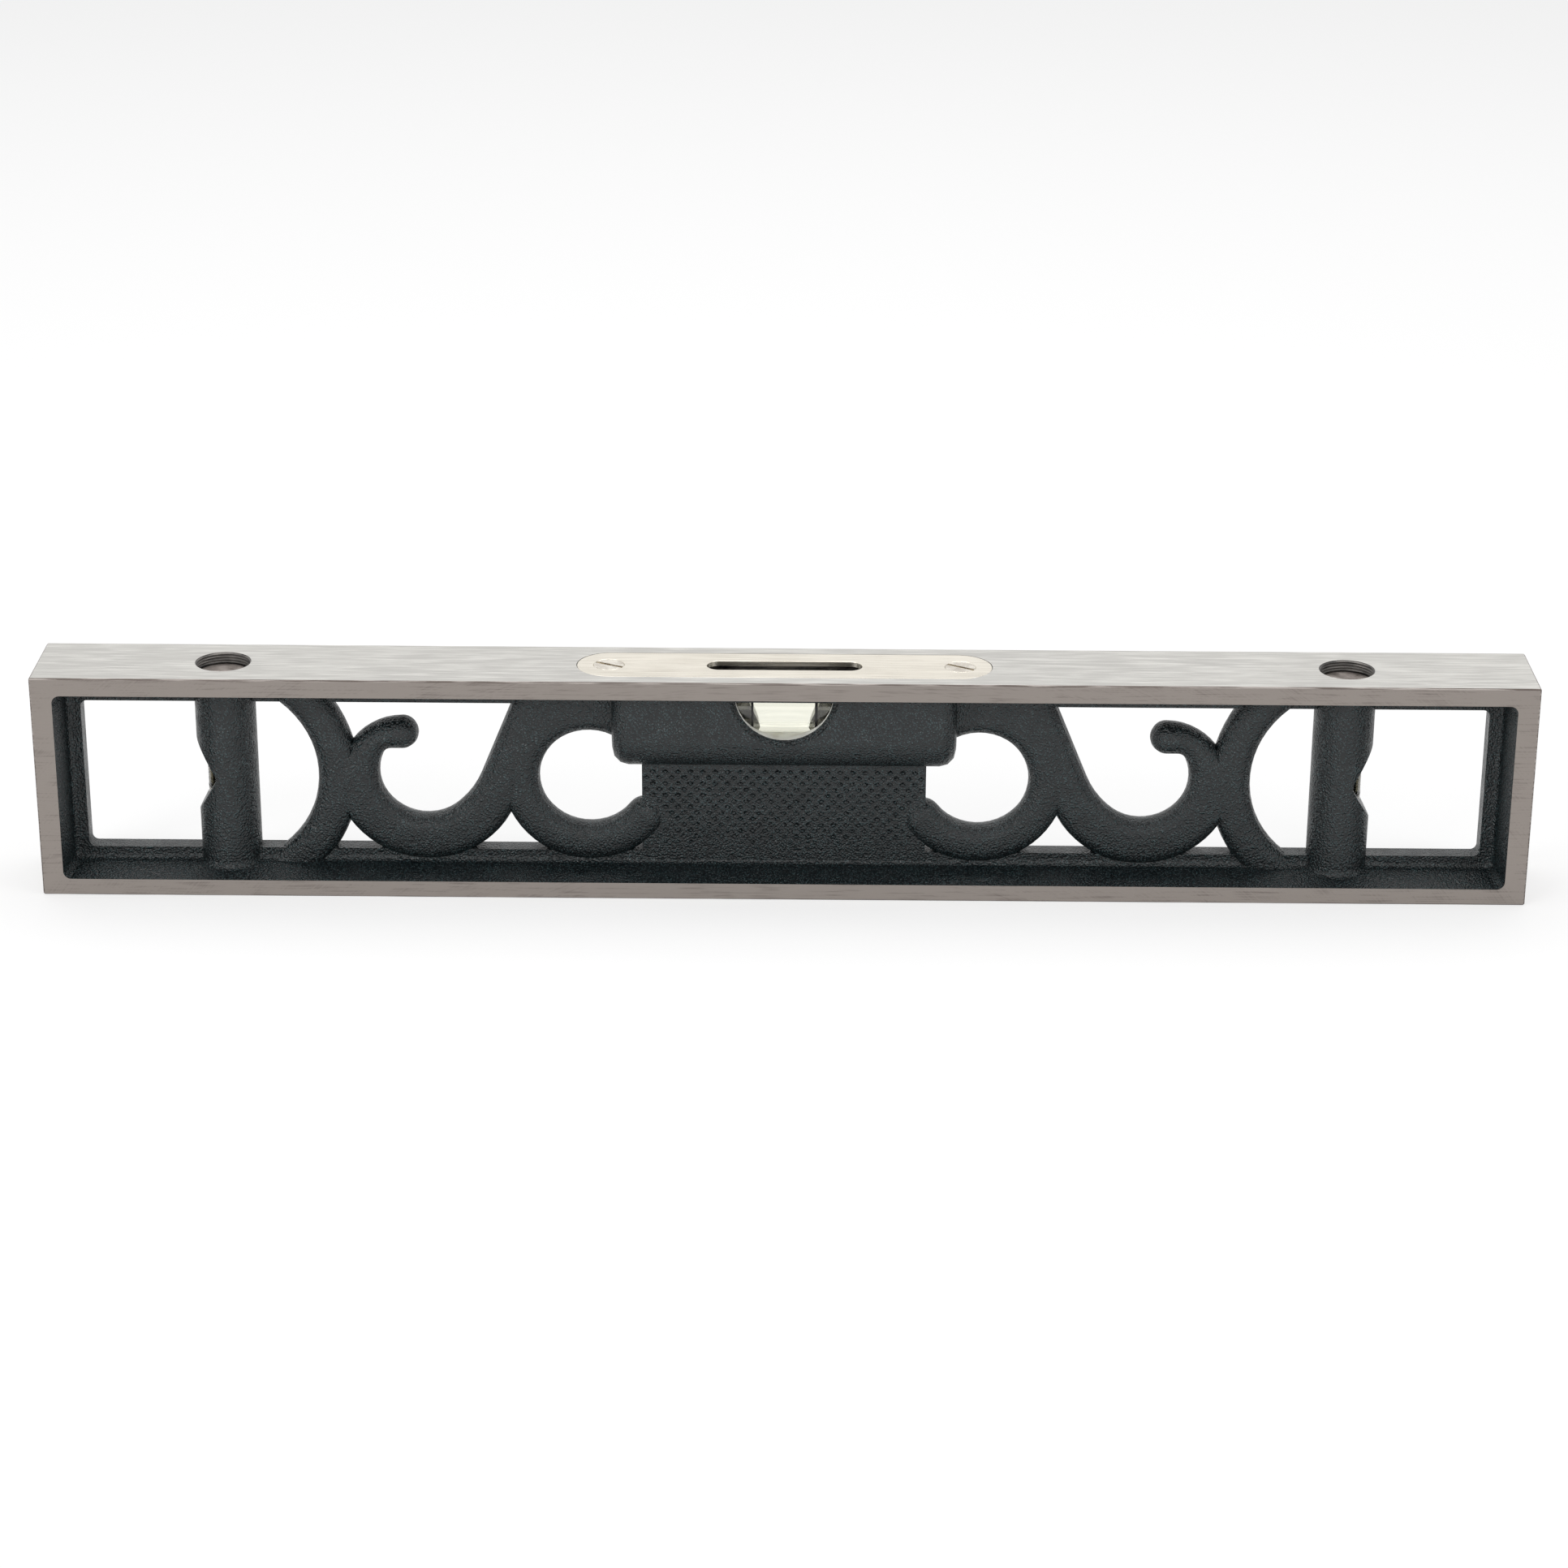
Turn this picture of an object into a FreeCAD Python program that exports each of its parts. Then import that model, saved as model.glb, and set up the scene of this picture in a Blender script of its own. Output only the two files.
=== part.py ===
import FreeCAD, Part
import math
import os

# An 18 inch openwork cast-iron machinist's level, in millimetres.
# +X runs along the level, +Y from its front to its back, +Z up.
# The origin is the middle of the base face.

VECTOR = FreeCAD.Vector
ACROSS = VECTOR(0, 1, 0)
UP = VECTOR(0, 0, 1)

# ---- the casting's envelope -------------------------------------------------
LENGTH = 457.2
DEPTH = 31.75
HEIGHT = 71.2
EDGE_BEVEL = 0.45

# Widths of the ground rim, as seen on the front and back faces.
RIM_TOP = 5.7
RIM_BOTTOM = 5.3
RIM_END = 6.6
POCKET_DRAFT = 1.7
POCKET_CORNER = 2.4
POCKET_ROOT = 1.8

# The web that stands in the middle of the rim, and the window cut in it.
WEB_THICKNESS = 6.0
WINDOW_BOTTOM = 10.9
WINDOW_TOP = 59.4
WINDOW_HALF = 215.8
WINDOW_CORNER = 2.0

# ---- the scrollwork, left half; the right half is its mirror image ----------
ROUNDING_ANGLES = (0, 30, 60, 90)
BAND_THICKNESS = 10.0
BAND_ROUNDING = 4.2
BAND_ROOT = 64.0

CRESCENT_CENTRE = (-174.5, 35.2)
CRESCENT_INNER = 30.7
CRESCENT_OUTER = 43.1
CRESCENT_SWEEP = 64.0

HOOK_CENTRE = (-110.6, 36.0)
HOOK_INNER = 14.3
HOOK_INNER_END = -54.0
HOOK_OUTER_CENTRE = (-110.3, 36.4)
HOOK_OUTER = 29.3
STEM_ANGLE = 67.5
STEM_FOOT = (-95.3, 31.1)
HOOK_TIP_CENTRE = (-117.55, 48.8)
HOOK_TIP = 5.0
HOOK_THROAT = 3.0
HOOK_BACK_Z = 34.45
HOOK_TAIL_END = 150.0
HOOK_BOWL_START = 184.0

RING_CENTRE = (-60.0, 34.8)
RING_INNER = 15.5
RING_OUTER = 27.4
RING_START = 40.0
RING_END = 322.0

# The web is as thick as the bands between a hook's stem and the boss.
GUSSET = ((-79.0, 55.5), (-50.0, 55.5), (-50.0, 66.0), (-74.7, 66.0))

GRIP_HALF = 43.8
GRIP_THICKNESS = 6.4

# ---- the posts that hold the two plumb vials --------------------------------
POST_X = 171.75
POST_RADIUS = 9.3
POST_FLARE = 3.0
POST_FLARE_SINK = 0.3
POST_ROOT = 2.0
PLUMB_BORE = 6.55
PLUMB_BORE_FLOOR = 10.0
PLUG_HOLE = 8.55
PLUG_SHOULDER = 61.6
NOTCH_Z = 35.6
NOTCH_HEIGHT = 23.2
NOTCH_APEX = 2.7
NOTCH_NOSE = 2.2

PLUG_RADIUS = 8.5
PLUG_RECESS = 3.6
PLUG_CHAMFER = 0.5
PLUG_SLOT_WIDTH = 1.6
PLUG_SLOT_DEPTH = 1.6

PLUMB_GLASS_RADIUS = 6.3
PLUMB_GLASS_WALL = 1.3
PLUMB_GLASS_END = 1.8
PLUMB_PAD_LOWER = 3.0
PLUMB_PAD_UPPER = 3.4
PLUMB_AIR_GAP = 6.0

# ---- the boss that holds the main vial --------------------------------------
BOSS_HALF = 52.8
BOSS_HALF_DEPTH = 11.5
BOSS_ROUND_Z = 50.8
BOSS_END_ROUNDING = 5.0
SIGHT_Z = 65.8
SIGHT_RADIUS = 15.2
SIGHT_TOP = 63.4
SIGHT_BEVEL = 1.6

CHANNEL_HALF_WIDTH = 8.4
CHANNEL_HALF = 34.6
END_POCKET_HALF = 46.0
END_POCKET_HALF_WIDTH = 5.6

MAIN_AXIS_Z = 57.3
MAIN_GLASS_RADIUS = 7.4
MAIN_GLASS_HALF = 31.5
MAIN_GLASS_WALL = 1.4
MAIN_GLASS_END = 2.0
BUBBLE_HALF = 9.0
BUBBLE_STRAIGHT = 6.5
BUBBLE_RADIUS = 5.0
BUBBLE_DEPTH = 3.2

CAP_INNER_X = 25.2
CAP_OUTER_X = 34.2
CAP_RADIUS = 8.2
CAP_BORE = 7.45
TONGUE_TIP_X = 44.6
TONGUE_HALF_WIDTH = 4.6
TONGUE_THICKNESS = 2.8
TONGUE_CORNER = 3.7
CAP_SCREW_X = 39.6
SPRING_GAP = 3.6
SPRING_LEAF = 0.5
SPRING_HALF_SPAN = 4.4
SPRING_HALF_WIDTH = 3.4
SPRING_HOLE = 1.85

# ---- the inlaid top plate and its screws ------------------------------------
PLATE_HALF = 63.5
PLATE_HALF_WIDTH = 10.5
PLATE_THICKNESS = 1.6
PLATE_CHAMFER = 0.15
PLATE_POCKET_GAP = 0.12
PLATE_SLOT_HALF = 23.75
PLATE_SLOT_HALF_WIDTH = 3.85
PLATE_SCREW_X = 53.7
PLATE_SCREW_HEAD = 4.7
PLATE_SCREW_LAND = 0.4
PLATE_SCREW_SINK = 2.8
PLATE_SCREW_SHANK = 2.0
PLATE_SCREW_LENGTH = 7.6
PLATE_SCREW_TURNS = {"left": -28.0, "right": -32.0}

CAP_SCREW_HEAD = 2.9
CAP_SCREW_HEAD_HEIGHT = 2.0
CAP_SCREW_SHANK = 1.45
CAP_SCREW_GRIP = 4.2
CAP_SCREW_TURN = 12.0

THREAD_GAP = 0.05
SLOT_WIDTH = 1.1
SLOT_DEPTH = 1.0

# How far a cutter or a buried end runs past the surface that it meets.
OVERRUN = 1.0


# ---- small helpers ----------------------------------------------------------
def polar(centre, radius, degrees):
    """Return the point (x, z) at an angle round a centre, counter-clockwise from +X."""
    turn = math.radians(degrees)
    return (centre[0] + radius * math.cos(turn), centre[1] + radius * math.sin(turn))


def upright(point, y=0.0):
    """Place an (x, z) point of the level's front view at depth y."""
    return VECTOR(point[0], y, point[1])


def line(start, end, y):
    return Part.LineSegment(upright(start, y), upright(end, y)).toShape()


def arc(centre, radius, start, end, y):
    """An arc round a centre from one angle to another, in the front view."""
    ends = [upright(polar(centre, radius, angle), y) for angle in (start, (start + end) / 2, end)]
    return Part.Arc(*ends).toShape()


def slab(edges, thickness):
    """Extrude an outline drawn at y = -thickness / 2 through to the other side."""
    face = Part.Face(Part.Wire(edges))
    return face.extrude(ACROSS * thickness)


def rounded_rectangle(x_low, x_high, z_low, z_high, radius, y):
    """A closed wire in the front view, at depth y, with round corners."""
    centres = [
        (x_high - radius, z_low + radius, -90),
        (x_high - radius, z_high - radius, 0),
        (x_low + radius, z_high - radius, 90),
        (x_low + radius, z_low + radius, 180),
    ]
    edges = []
    previous = polar(centres[-1][:2], radius, 270)
    for x, z, angle in centres:
        edges.append(line(previous, polar((x, z), radius, angle), y))
        edges.append(arc((x, z), radius, angle, angle + 90, y))
        previous = polar((x, z), radius, angle + 90)
    return Part.Wire(edges)


def stadium(half_length, half_width, z_low, z_high):
    """A flat bar with round ends, lying along X."""
    straight = half_length - half_width
    height = z_high - z_low
    middle = Part.makeBox(2 * straight, 2 * half_width, height, VECTOR(-straight, -half_width, z_low))
    ends = [Part.makeCylinder(half_width, height, VECTOR(x, 0, z_low)) for x in (-straight, straight)]
    return middle.fuse(ends).removeSplitter()


def turned(profile, x, z=0.0):
    """Turn a profile of (radius, height) points round the vertical line at x."""
    corners = [VECTOR(radius, 0, height + z) for radius, height in profile]
    solid = Part.Face(Part.makePolygon(corners + corners[:1])).revolve(VECTOR(), UP, 360)
    solid.translate(VECTOR(x, 0, 0))
    return solid


def mirrored(solid):
    return solid.mirror(VECTOR(), VECTOR(1, 0, 0))


def edges_where(solid, test):
    return [edge for edge in solid.Edges if test(edge)]


def rounding_steps(radius):
    """
    The (inset, depth) steps that stand for a quarter-round edge.

    Three narrow facets lie between points of the true arc, 30 degrees apart, so
    the casting's edges stay round to within 0.15 mm and cost few faces.
    """
    steps = []
    for degrees in ROUNDING_ANGLES:
        turn = math.radians(degrees)
        steps.append((radius * (1 - math.cos(turn)), radius * (1 - math.sin(turn))))
    return steps


def stacked(wire_at, half_depth, radius):
    """Loft a body between two faces, with its outline drawn in round at both of them."""
    steps = rounding_steps(radius)
    wires = [wire_at(inset, depth - half_depth) for inset, depth in reversed(steps)]
    wires += [wire_at(inset, half_depth - depth) for inset, depth in steps]
    return Part.makeLoft(wires, True, True)


# ---- the casting ------------------------------------------------------------
def draughted_pocket():
    """The pocket between rim and web on the front, with draught and a root radius."""
    face_y = -DEPTH / 2
    root_y = -WEB_THICKNESS / 2
    levels = [(0.0, face_y)]
    for inset, depth in rounding_steps(POCKET_ROOT):
        levels.append((POCKET_DRAFT + inset, root_y - depth))
    wires = []
    for inset, y in levels:
        wires.append(rounded_rectangle(
            RIM_END + inset - LENGTH / 2, LENGTH / 2 - RIM_END - inset,
            RIM_BOTTOM + inset, HEIGHT - RIM_TOP - inset, POCKET_CORNER, y
        ))
    return Part.makeLoft(wires, True, True)


def rim():
    """The ground outer frame with its web, before anything stands in the window."""
    block = Part.makeBox(LENGTH, DEPTH, HEIGHT, VECTOR(-LENGTH / 2, -DEPTH / 2, 0))
    block = block.makeChamfer(EDGE_BEVEL, block.Edges)
    pocket = draughted_pocket()
    window_wire = rounded_rectangle(
        -WINDOW_HALF, WINDOW_HALF, WINDOW_BOTTOM, WINDOW_TOP, WINDOW_CORNER, -WEB_THICKNESS
    )
    window = Part.Face(window_wire).extrude(ACROSS * 2 * WEB_THICKNESS)
    return block.cut([pocket, pocket.mirror(VECTOR(), ACROSS), window])


def crescent():
    """The band that bounds the D-shaped opening beside a post."""
    sweep = CRESCENT_SWEEP
    centre = CRESCENT_CENTRE

    def wire_at(inset, y):
        outer = CRESCENT_OUTER - inset
        inner = CRESCENT_INNER + inset
        return Part.Wire([
            arc(centre, outer, -sweep, sweep, y),
            line(polar(centre, outer, sweep), polar(centre, inner, sweep), y),
            arc(centre, inner, sweep, -sweep, y),
            line(polar(centre, inner, -sweep), polar(centre, outer, -sweep), y),
        ])

    return stacked(wire_at, BAND_THICKNESS / 2, BAND_ROUNDING)


def stem_point(start, z):
    """Follow the stem's slope from a point up to a height."""
    return (start[0] + (z - start[1]) / math.tan(math.radians(STEM_ANGLE)), z)


def hook():
    """The J-shaped band: a straight stem, a round bowl and a tail with a round tip."""
    tip = HOOK_TIP_CENTRE
    back = (tip[0], HOOK_BACK_Z)
    stem_turn = STEM_ANGLE - 90
    # The bowl runs on into the stem by a wider arc that is tangent to both.
    across = polar((0, 0), 1.0, stem_turn)
    facing = math.cos(math.radians(stem_turn - HOOK_INNER_END))
    offset = (STEM_FOOT[0] - HOOK_CENTRE[0]) * across[0] + (STEM_FOOT[1] - HOOK_CENTRE[1]) * across[1]
    blend_radius = (offset - HOOK_INNER * facing) / (1 - facing)
    blend = polar(HOOK_CENTRE, HOOK_INNER - blend_radius, HOOK_INNER_END)
    # Below the tip a small arc turns the bowl into the tail's underside.
    throat_z = tip[1] - HOOK_TIP - HOOK_THROAT
    reach = HOOK_INNER - HOOK_THROAT
    throat = (HOOK_CENTRE[0] - math.sqrt(reach ** 2 - (throat_z - HOOK_CENTRE[1]) ** 2), throat_z)
    throat_turn = math.degrees(math.atan2(throat[1] - HOOK_CENTRE[1], throat[0] - HOOK_CENTRE[0]))

    def wire_at(inset, y):
        stem_inner = polar(blend, blend_radius + inset, stem_turn)
        stem_outer = polar(HOOK_OUTER_CENTRE, HOOK_OUTER - inset, stem_turn)
        back_radius = tip[1] + HOOK_TIP - back[1] - inset
        tail_end = polar(back, back_radius, HOOK_TAIL_END)
        bowl_start = polar(HOOK_OUTER_CENTRE, HOOK_OUTER - inset, HOOK_BOWL_START)
        return Part.Wire([
            line(stem_point(stem_inner, BAND_ROOT), stem_inner, y),
            arc(blend, blend_radius + inset, stem_turn, HOOK_INNER_END, y),
            arc(HOOK_CENTRE, HOOK_INNER + inset, HOOK_INNER_END, throat_turn - 360, y),
            arc(throat, HOOK_THROAT + inset, throat_turn, 90, y),
            line(polar(throat, HOOK_THROAT + inset, 90), polar(tip, HOOK_TIP - inset, -90), y),
            arc(tip, HOOK_TIP - inset, -90, 90, y),
            arc(back, back_radius, 90, HOOK_TAIL_END, y),
            line(tail_end, bowl_start, y),
            arc(HOOK_OUTER_CENTRE, HOOK_OUTER - inset, HOOK_BOWL_START, 360 + stem_turn, y),
            line(stem_outer, stem_point(stem_outer, BAND_ROOT), y),
            line(stem_point(stem_outer, BAND_ROOT), stem_point(stem_inner, BAND_ROOT), y),
        ])

    return stacked(wire_at, BAND_THICKNESS / 2, BAND_ROUNDING)


def ring_scroll():
    """The band that runs from the boss round the ring opening to a tip on the grip."""
    centre = RING_CENTRE
    middle = (RING_INNER + RING_OUTER) / 2
    tip = polar(centre, middle, RING_END)

    def wire_at(inset, y):
        inner = RING_INNER + inset
        outer = RING_OUTER - inset
        return Part.Wire([
            arc(centre, inner, RING_START, RING_END, y),
            arc(tip, (outer - inner) / 2, RING_END + 180, RING_END, y),
            arc(centre, outer, RING_END, RING_START, y),
            line(polar(centre, outer, RING_START), polar(centre, inner, RING_START), y),
        ])

    return stacked(wire_at, BAND_THICKNESS / 2, BAND_ROUNDING)


def gusset():
    """The thick corner over the ring, between the hook's stem and the boss."""
    y = -BAND_THICKNESS / 2
    corners = list(GUSSET)
    edges = [line(start, end, y) for start, end in zip(corners, corners[1:] + corners[:1])]
    return slab(edges, BAND_THICKNESS)


def post(x):
    """A round post from flange to flange, flared where it meets them."""
    foot = RIM_BOTTOM + POST_FLARE_SINK
    head = HEIGHT - RIM_TOP - POST_FLARE_SINK
    flare = [(POST_RADIUS + inset, depth) for inset, depth in rounding_steps(POST_FLARE)]
    profile = [(0, foot - POST_ROOT), (POST_RADIUS + POST_FLARE, foot - POST_ROOT)]
    profile += [(radius, foot + rise) for radius, rise in reversed(flare)]
    profile += [(radius, head - rise) for radius, rise in flare]
    profile += [(POST_RADIUS + POST_FLARE, head + POST_ROOT), (0, head + POST_ROOT)]
    return turned(profile, x)


def notch(x, outward):
    """The V cut that opens a post's outer side, with a round nose."""
    half = NOTCH_HEIGHT / 2
    depth = POST_RADIUS - NOTCH_APEX
    slope = math.atan2(half, depth)
    nose_x = NOTCH_APEX + NOTCH_NOSE
    # The flanks are tangent to the nose and reach past the post's surface.
    touch = (nose_x - NOTCH_NOSE * math.sin(slope), NOTCH_NOSE * math.cos(slope))
    reach = POST_RADIUS + 4.0
    rise = touch[1] + (reach - touch[0]) * math.tan(slope)
    points = [(reach, rise), touch, (NOTCH_APEX, 0), (touch[0], -touch[1]), (reach, -rise)]
    placed = [(x + outward * px, NOTCH_Z + pz) for px, pz in points]
    y = -2 * POST_RADIUS
    edges = [
        line(placed[0], placed[1], y),
        Part.Arc(upright(placed[1], y), upright(placed[2], y), upright(placed[3], y)).toShape(),
        line(placed[3], placed[4], y),
        line(placed[4], placed[0], y),
    ]
    return slab(edges, 4 * POST_RADIUS)


def boss():
    """The long rounded housing under the top flange that carries the main vial."""
    top = HEIGHT - RIM_TOP + OVERRUN

    def wire_at(inset, x):
        half = BOSS_HALF_DEPTH - inset
        corners = [VECTOR(x, -half, top), VECTOR(x, -half, BOSS_ROUND_Z)]
        corners += [VECTOR(x, half, BOSS_ROUND_Z), VECTOR(x, half, top)]
        return Part.Wire([
            Part.LineSegment(corners[0], corners[1]).toShape(),
            Part.Arc(corners[1], VECTOR(x, 0, BOSS_ROUND_Z - half), corners[2]).toShape(),
            Part.LineSegment(corners[2], corners[3]).toShape(),
            Part.LineSegment(corners[3], corners[0]).toShape(),
        ])

    return stacked(wire_at, BOSS_HALF, BOSS_END_ROUNDING)


def sight():
    """The round-bottomed sight opening through the boss, bevelled at both faces."""
    half = BOSS_HALF_DEPTH
    through = Part.makeCylinder(SIGHT_RADIUS, 4 * half, VECTOR(0, -2 * half, SIGHT_Z), ACROSS)
    cones = []
    for side in (-1, 1):
        mouth = VECTOR(0, side * (half + 0.01), SIGHT_Z)
        cone = Part.makeCone(
            SIGHT_RADIUS + SIGHT_BEVEL, SIGHT_RADIUS, SIGHT_BEVEL, mouth, VECTOR(0, -side, 0)
        )
        cones.append(cone)
    keep = Part.makeBox(6 * half, 6 * half, SIGHT_TOP, VECTOR(-3 * half, -3 * half, 0))
    return through.fuse(cones).common(keep)


def vial_channel():
    """The round-bottomed channel for the main vial, with a pocket for each cap's tongue."""
    width = CHANNEL_HALF_WIDTH
    x = -CHANNEL_HALF
    top = HEIGHT
    edges = [
        Part.LineSegment(VECTOR(x, -width, top), VECTOR(x, -width, MAIN_AXIS_Z)).toShape(),
        Part.Arc(
            VECTOR(x, -width, MAIN_AXIS_Z), VECTOR(x, 0, MAIN_AXIS_Z - width), VECTOR(x, width, MAIN_AXIS_Z)
        ).toShape(),
        Part.LineSegment(VECTOR(x, width, MAIN_AXIS_Z), VECTOR(x, width, top)).toShape(),
        Part.LineSegment(VECTOR(x, width, top), VECTOR(x, -width, top)).toShape(),
    ]
    channel = Part.Face(Part.Wire(edges)).extrude(VECTOR(2 * CHANNEL_HALF, 0, 0))
    side = END_POCKET_HALF_WIDTH
    seat = MAIN_AXIS_Z - TONGUE_THICKNESS / 2
    reach = END_POCKET_HALF - CHANNEL_HALF + OVERRUN
    left = Part.makeBox(reach, 2 * side, top - seat, VECTOR(-END_POCKET_HALF, -side, seat))
    floor = seat - SPRING_GAP
    right = Part.makeBox(reach, 2 * side, top - floor, VECTOR(CHANNEL_HALF - OVERRUN, -side, floor))
    return channel.fuse([left, right])


def frame_casting():
    """The whole casting: rim, scrollwork, posts, boss and grip, then its bores."""
    grip = Part.makeBox(
        2 * GRIP_HALF, GRIP_THICKNESS, BOSS_ROUND_Z - RIM_BOTTOM,
        VECTOR(-GRIP_HALF, -GRIP_THICKNESS / 2, RIM_BOTTOM)
    )
    bands = [crescent(), hook(), ring_scroll(), gusset()]
    bands += [mirrored(band) for band in bands]
    posts = [post(-POST_X), post(POST_X)]
    envelope = Part.makeBox(
        LENGTH - 2 * OVERRUN, DEPTH - 2 * OVERRUN, HEIGHT - 2 * OVERRUN,
        VECTOR(OVERRUN - LENGTH / 2, OVERRUN - DEPTH / 2, OVERRUN)
    )
    inside = bands[0].fuse(bands[1:] + [grip, boss()] + posts).common(envelope)
    body = rim().fuse(inside)
    cutters = [sight(), vial_channel()]
    for side in (-1, 1):
        x = side * POST_X
        cutters.append(Part.makeCylinder(PLUMB_BORE, HEIGHT, VECTOR(x, 0, PLUMB_BORE_FLOOR)))
        cutters.append(Part.makeCylinder(PLUG_HOLE, HEIGHT, VECTOR(x, 0, PLUG_SHOULDER)))
        cutters.append(notch(x, side))
        cutters.append(plate_screw_hole(side * PLATE_SCREW_X))
        seat = MAIN_AXIS_Z - TONGUE_THICKNESS / 2
        if side > 0:
            seat -= SPRING_GAP
        tapped = Part.makeCylinder(
            CAP_SCREW_SHANK + THREAD_GAP, CAP_SCREW_GRIP + OVERRUN,
            VECTOR(side * CAP_SCREW_X, 0, seat - CAP_SCREW_GRIP - OVERRUN)
        )
        cutters.append(tapped)
    gap = PLATE_POCKET_GAP
    plate_floor = HEIGHT - PLATE_THICKNESS
    cutters.append(stadium(PLATE_HALF + gap, PLATE_HALF_WIDTH + gap, plate_floor, HEIGHT + OVERRUN))
    return body.cut(cutters).removeSplitter()


# ---- the top plate and its screws -------------------------------------------
def plate_screw_hole(x):
    """The countersunk hole for a plate screw, which runs on into the casting."""
    head = PLATE_SCREW_HEAD + THREAD_GAP
    shank = PLATE_SCREW_SHANK + THREAD_GAP
    return turned(
        [
            (0, OVERRUN), (head, OVERRUN), (head, -PLATE_SCREW_LAND), (shank, -PLATE_SCREW_SINK),
            (shank, -PLATE_SCREW_LENGTH - OVERRUN), (0, -PLATE_SCREW_LENGTH - OVERRUN),
        ],
        x, HEIGHT,
    )


def top_plate():
    low = HEIGHT - PLATE_THICKNESS
    plate = stadium(PLATE_HALF, PLATE_HALF_WIDTH, low, HEIGHT)
    slot = stadium(PLATE_SLOT_HALF, PLATE_SLOT_HALF_WIDTH, low - OVERRUN, HEIGHT + OVERRUN)
    plate = plate.cut([slot, plate_screw_hole(-PLATE_SCREW_X), plate_screw_hole(PLATE_SCREW_X)])
    upper_edges = edges_where(plate, lambda edge: edge.BoundBox.ZMin > HEIGHT - THREAD_GAP)
    return plate.makeChamfer(PLATE_CHAMFER, upper_edges)


def slotted(solid, x, top, turn):
    """Cut a driver slot across a screw's head, turned about the screw's own axis."""
    reach = 2 * PLATE_SCREW_HEAD
    cutter = Part.makeBox(
        2 * reach, SLOT_WIDTH, SLOT_DEPTH + OVERRUN, VECTOR(-reach, -SLOT_WIDTH / 2, top - SLOT_DEPTH)
    )
    cutter.rotate(VECTOR(), UP, turn)
    cutter.translate(VECTOR(x, 0, 0))
    return solid.cut(cutter)


def plate_screw(side_name):
    """A countersunk slotted screw, flush with the top plate."""
    x = PLATE_SCREW_X if side_name == "right" else -PLATE_SCREW_X
    screw = turned(
        [
            (0, 0), (PLATE_SCREW_HEAD - PLATE_CHAMFER, 0), (PLATE_SCREW_HEAD, -PLATE_CHAMFER),
            (PLATE_SCREW_HEAD, -PLATE_SCREW_LAND), (PLATE_SCREW_SHANK, -PLATE_SCREW_SINK),
            (PLATE_SCREW_SHANK, -PLATE_SCREW_LENGTH), (0, -PLATE_SCREW_LENGTH),
        ],
        x, HEIGHT,
    )
    return slotted(screw, x, HEIGHT, PLATE_SCREW_TURNS[side_name])


# ---- the vials --------------------------------------------------------------
def upright_bar(radius, z_low, z_high):
    return Part.makeCylinder(radius, z_high - z_low, VECTOR(0, 0, z_low))


def laid_along_x(solid, z):
    solid.rotate(VECTOR(), ACROSS, 90)
    solid.translate(VECTOR(0, 0, z))
    return solid


def main_bore():
    """The room inside the main vial's glass."""
    half = MAIN_GLASS_HALF - MAIN_GLASS_END
    return laid_along_x(upright_bar(MAIN_GLASS_RADIUS - MAIN_GLASS_WALL, -half, half), MAIN_AXIS_Z)


def main_vial_glass():
    outer = upright_bar(MAIN_GLASS_RADIUS, -MAIN_GLASS_HALF, MAIN_GLASS_HALF)
    return laid_along_x(outer, MAIN_AXIS_Z).cut(main_bore())


def main_vial_spirit():
    """The spirit that fills the main vial, with the hollow of its bubble on top."""
    nose = BUBBLE_RADIUS - BUBBLE_DEPTH
    bubble = turned(
        [
            (0, -BUBBLE_HALF), (nose, -BUBBLE_HALF), (BUBBLE_RADIUS, -BUBBLE_STRAIGHT),
            (BUBBLE_RADIUS, BUBBLE_STRAIGHT), (nose, BUBBLE_HALF), (0, BUBBLE_HALF),
        ],
        0,
    )
    bore_top = MAIN_AXIS_Z + MAIN_GLASS_RADIUS - MAIN_GLASS_WALL
    bubble = laid_along_x(bubble, bore_top + BUBBLE_RADIUS - BUBBLE_DEPTH)
    return main_bore().cut(bubble)


def main_vial_cap(side):
    """A brass cap over one end of the vial, with a drilled tongue for its screw."""
    axis = VECTOR(side, 0, 0)
    start = VECTOR(side * CAP_INNER_X, 0, MAIN_AXIS_Z)
    cup = Part.makeCylinder(CAP_RADIUS, CAP_OUTER_X - CAP_INNER_X, start, axis)
    bore = Part.makeCylinder(CAP_BORE, MAIN_GLASS_HALF - CAP_INNER_X, start, axis)
    half = TONGUE_HALF_WIDTH
    low = MAIN_AXIS_Z - TONGUE_THICKNESS / 2
    root_x = CAP_OUTER_X - OVERRUN
    tongue = Part.makeBox(TONGUE_TIP_X - root_x, 2 * half, TONGUE_THICKNESS, VECTOR(root_x, -half, low))

    def at_tip(edge):
        box = edge.BoundBox
        return box.XMin > TONGUE_TIP_X - THREAD_GAP and box.ZLength > TONGUE_THICKNESS / 2

    tongue = tongue.makeFillet(TONGUE_CORNER, edges_where(tongue, at_tip))
    hole = Part.makeCylinder(CAP_SCREW_SHANK + THREAD_GAP, TONGUE_THICKNESS, VECTOR(CAP_SCREW_X, 0, low))
    tongue = tongue.cut(hole)
    if side < 0:
        tongue = mirrored(tongue)
    return cup.cut(bore).fuse(tongue).removeSplitter()


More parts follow.
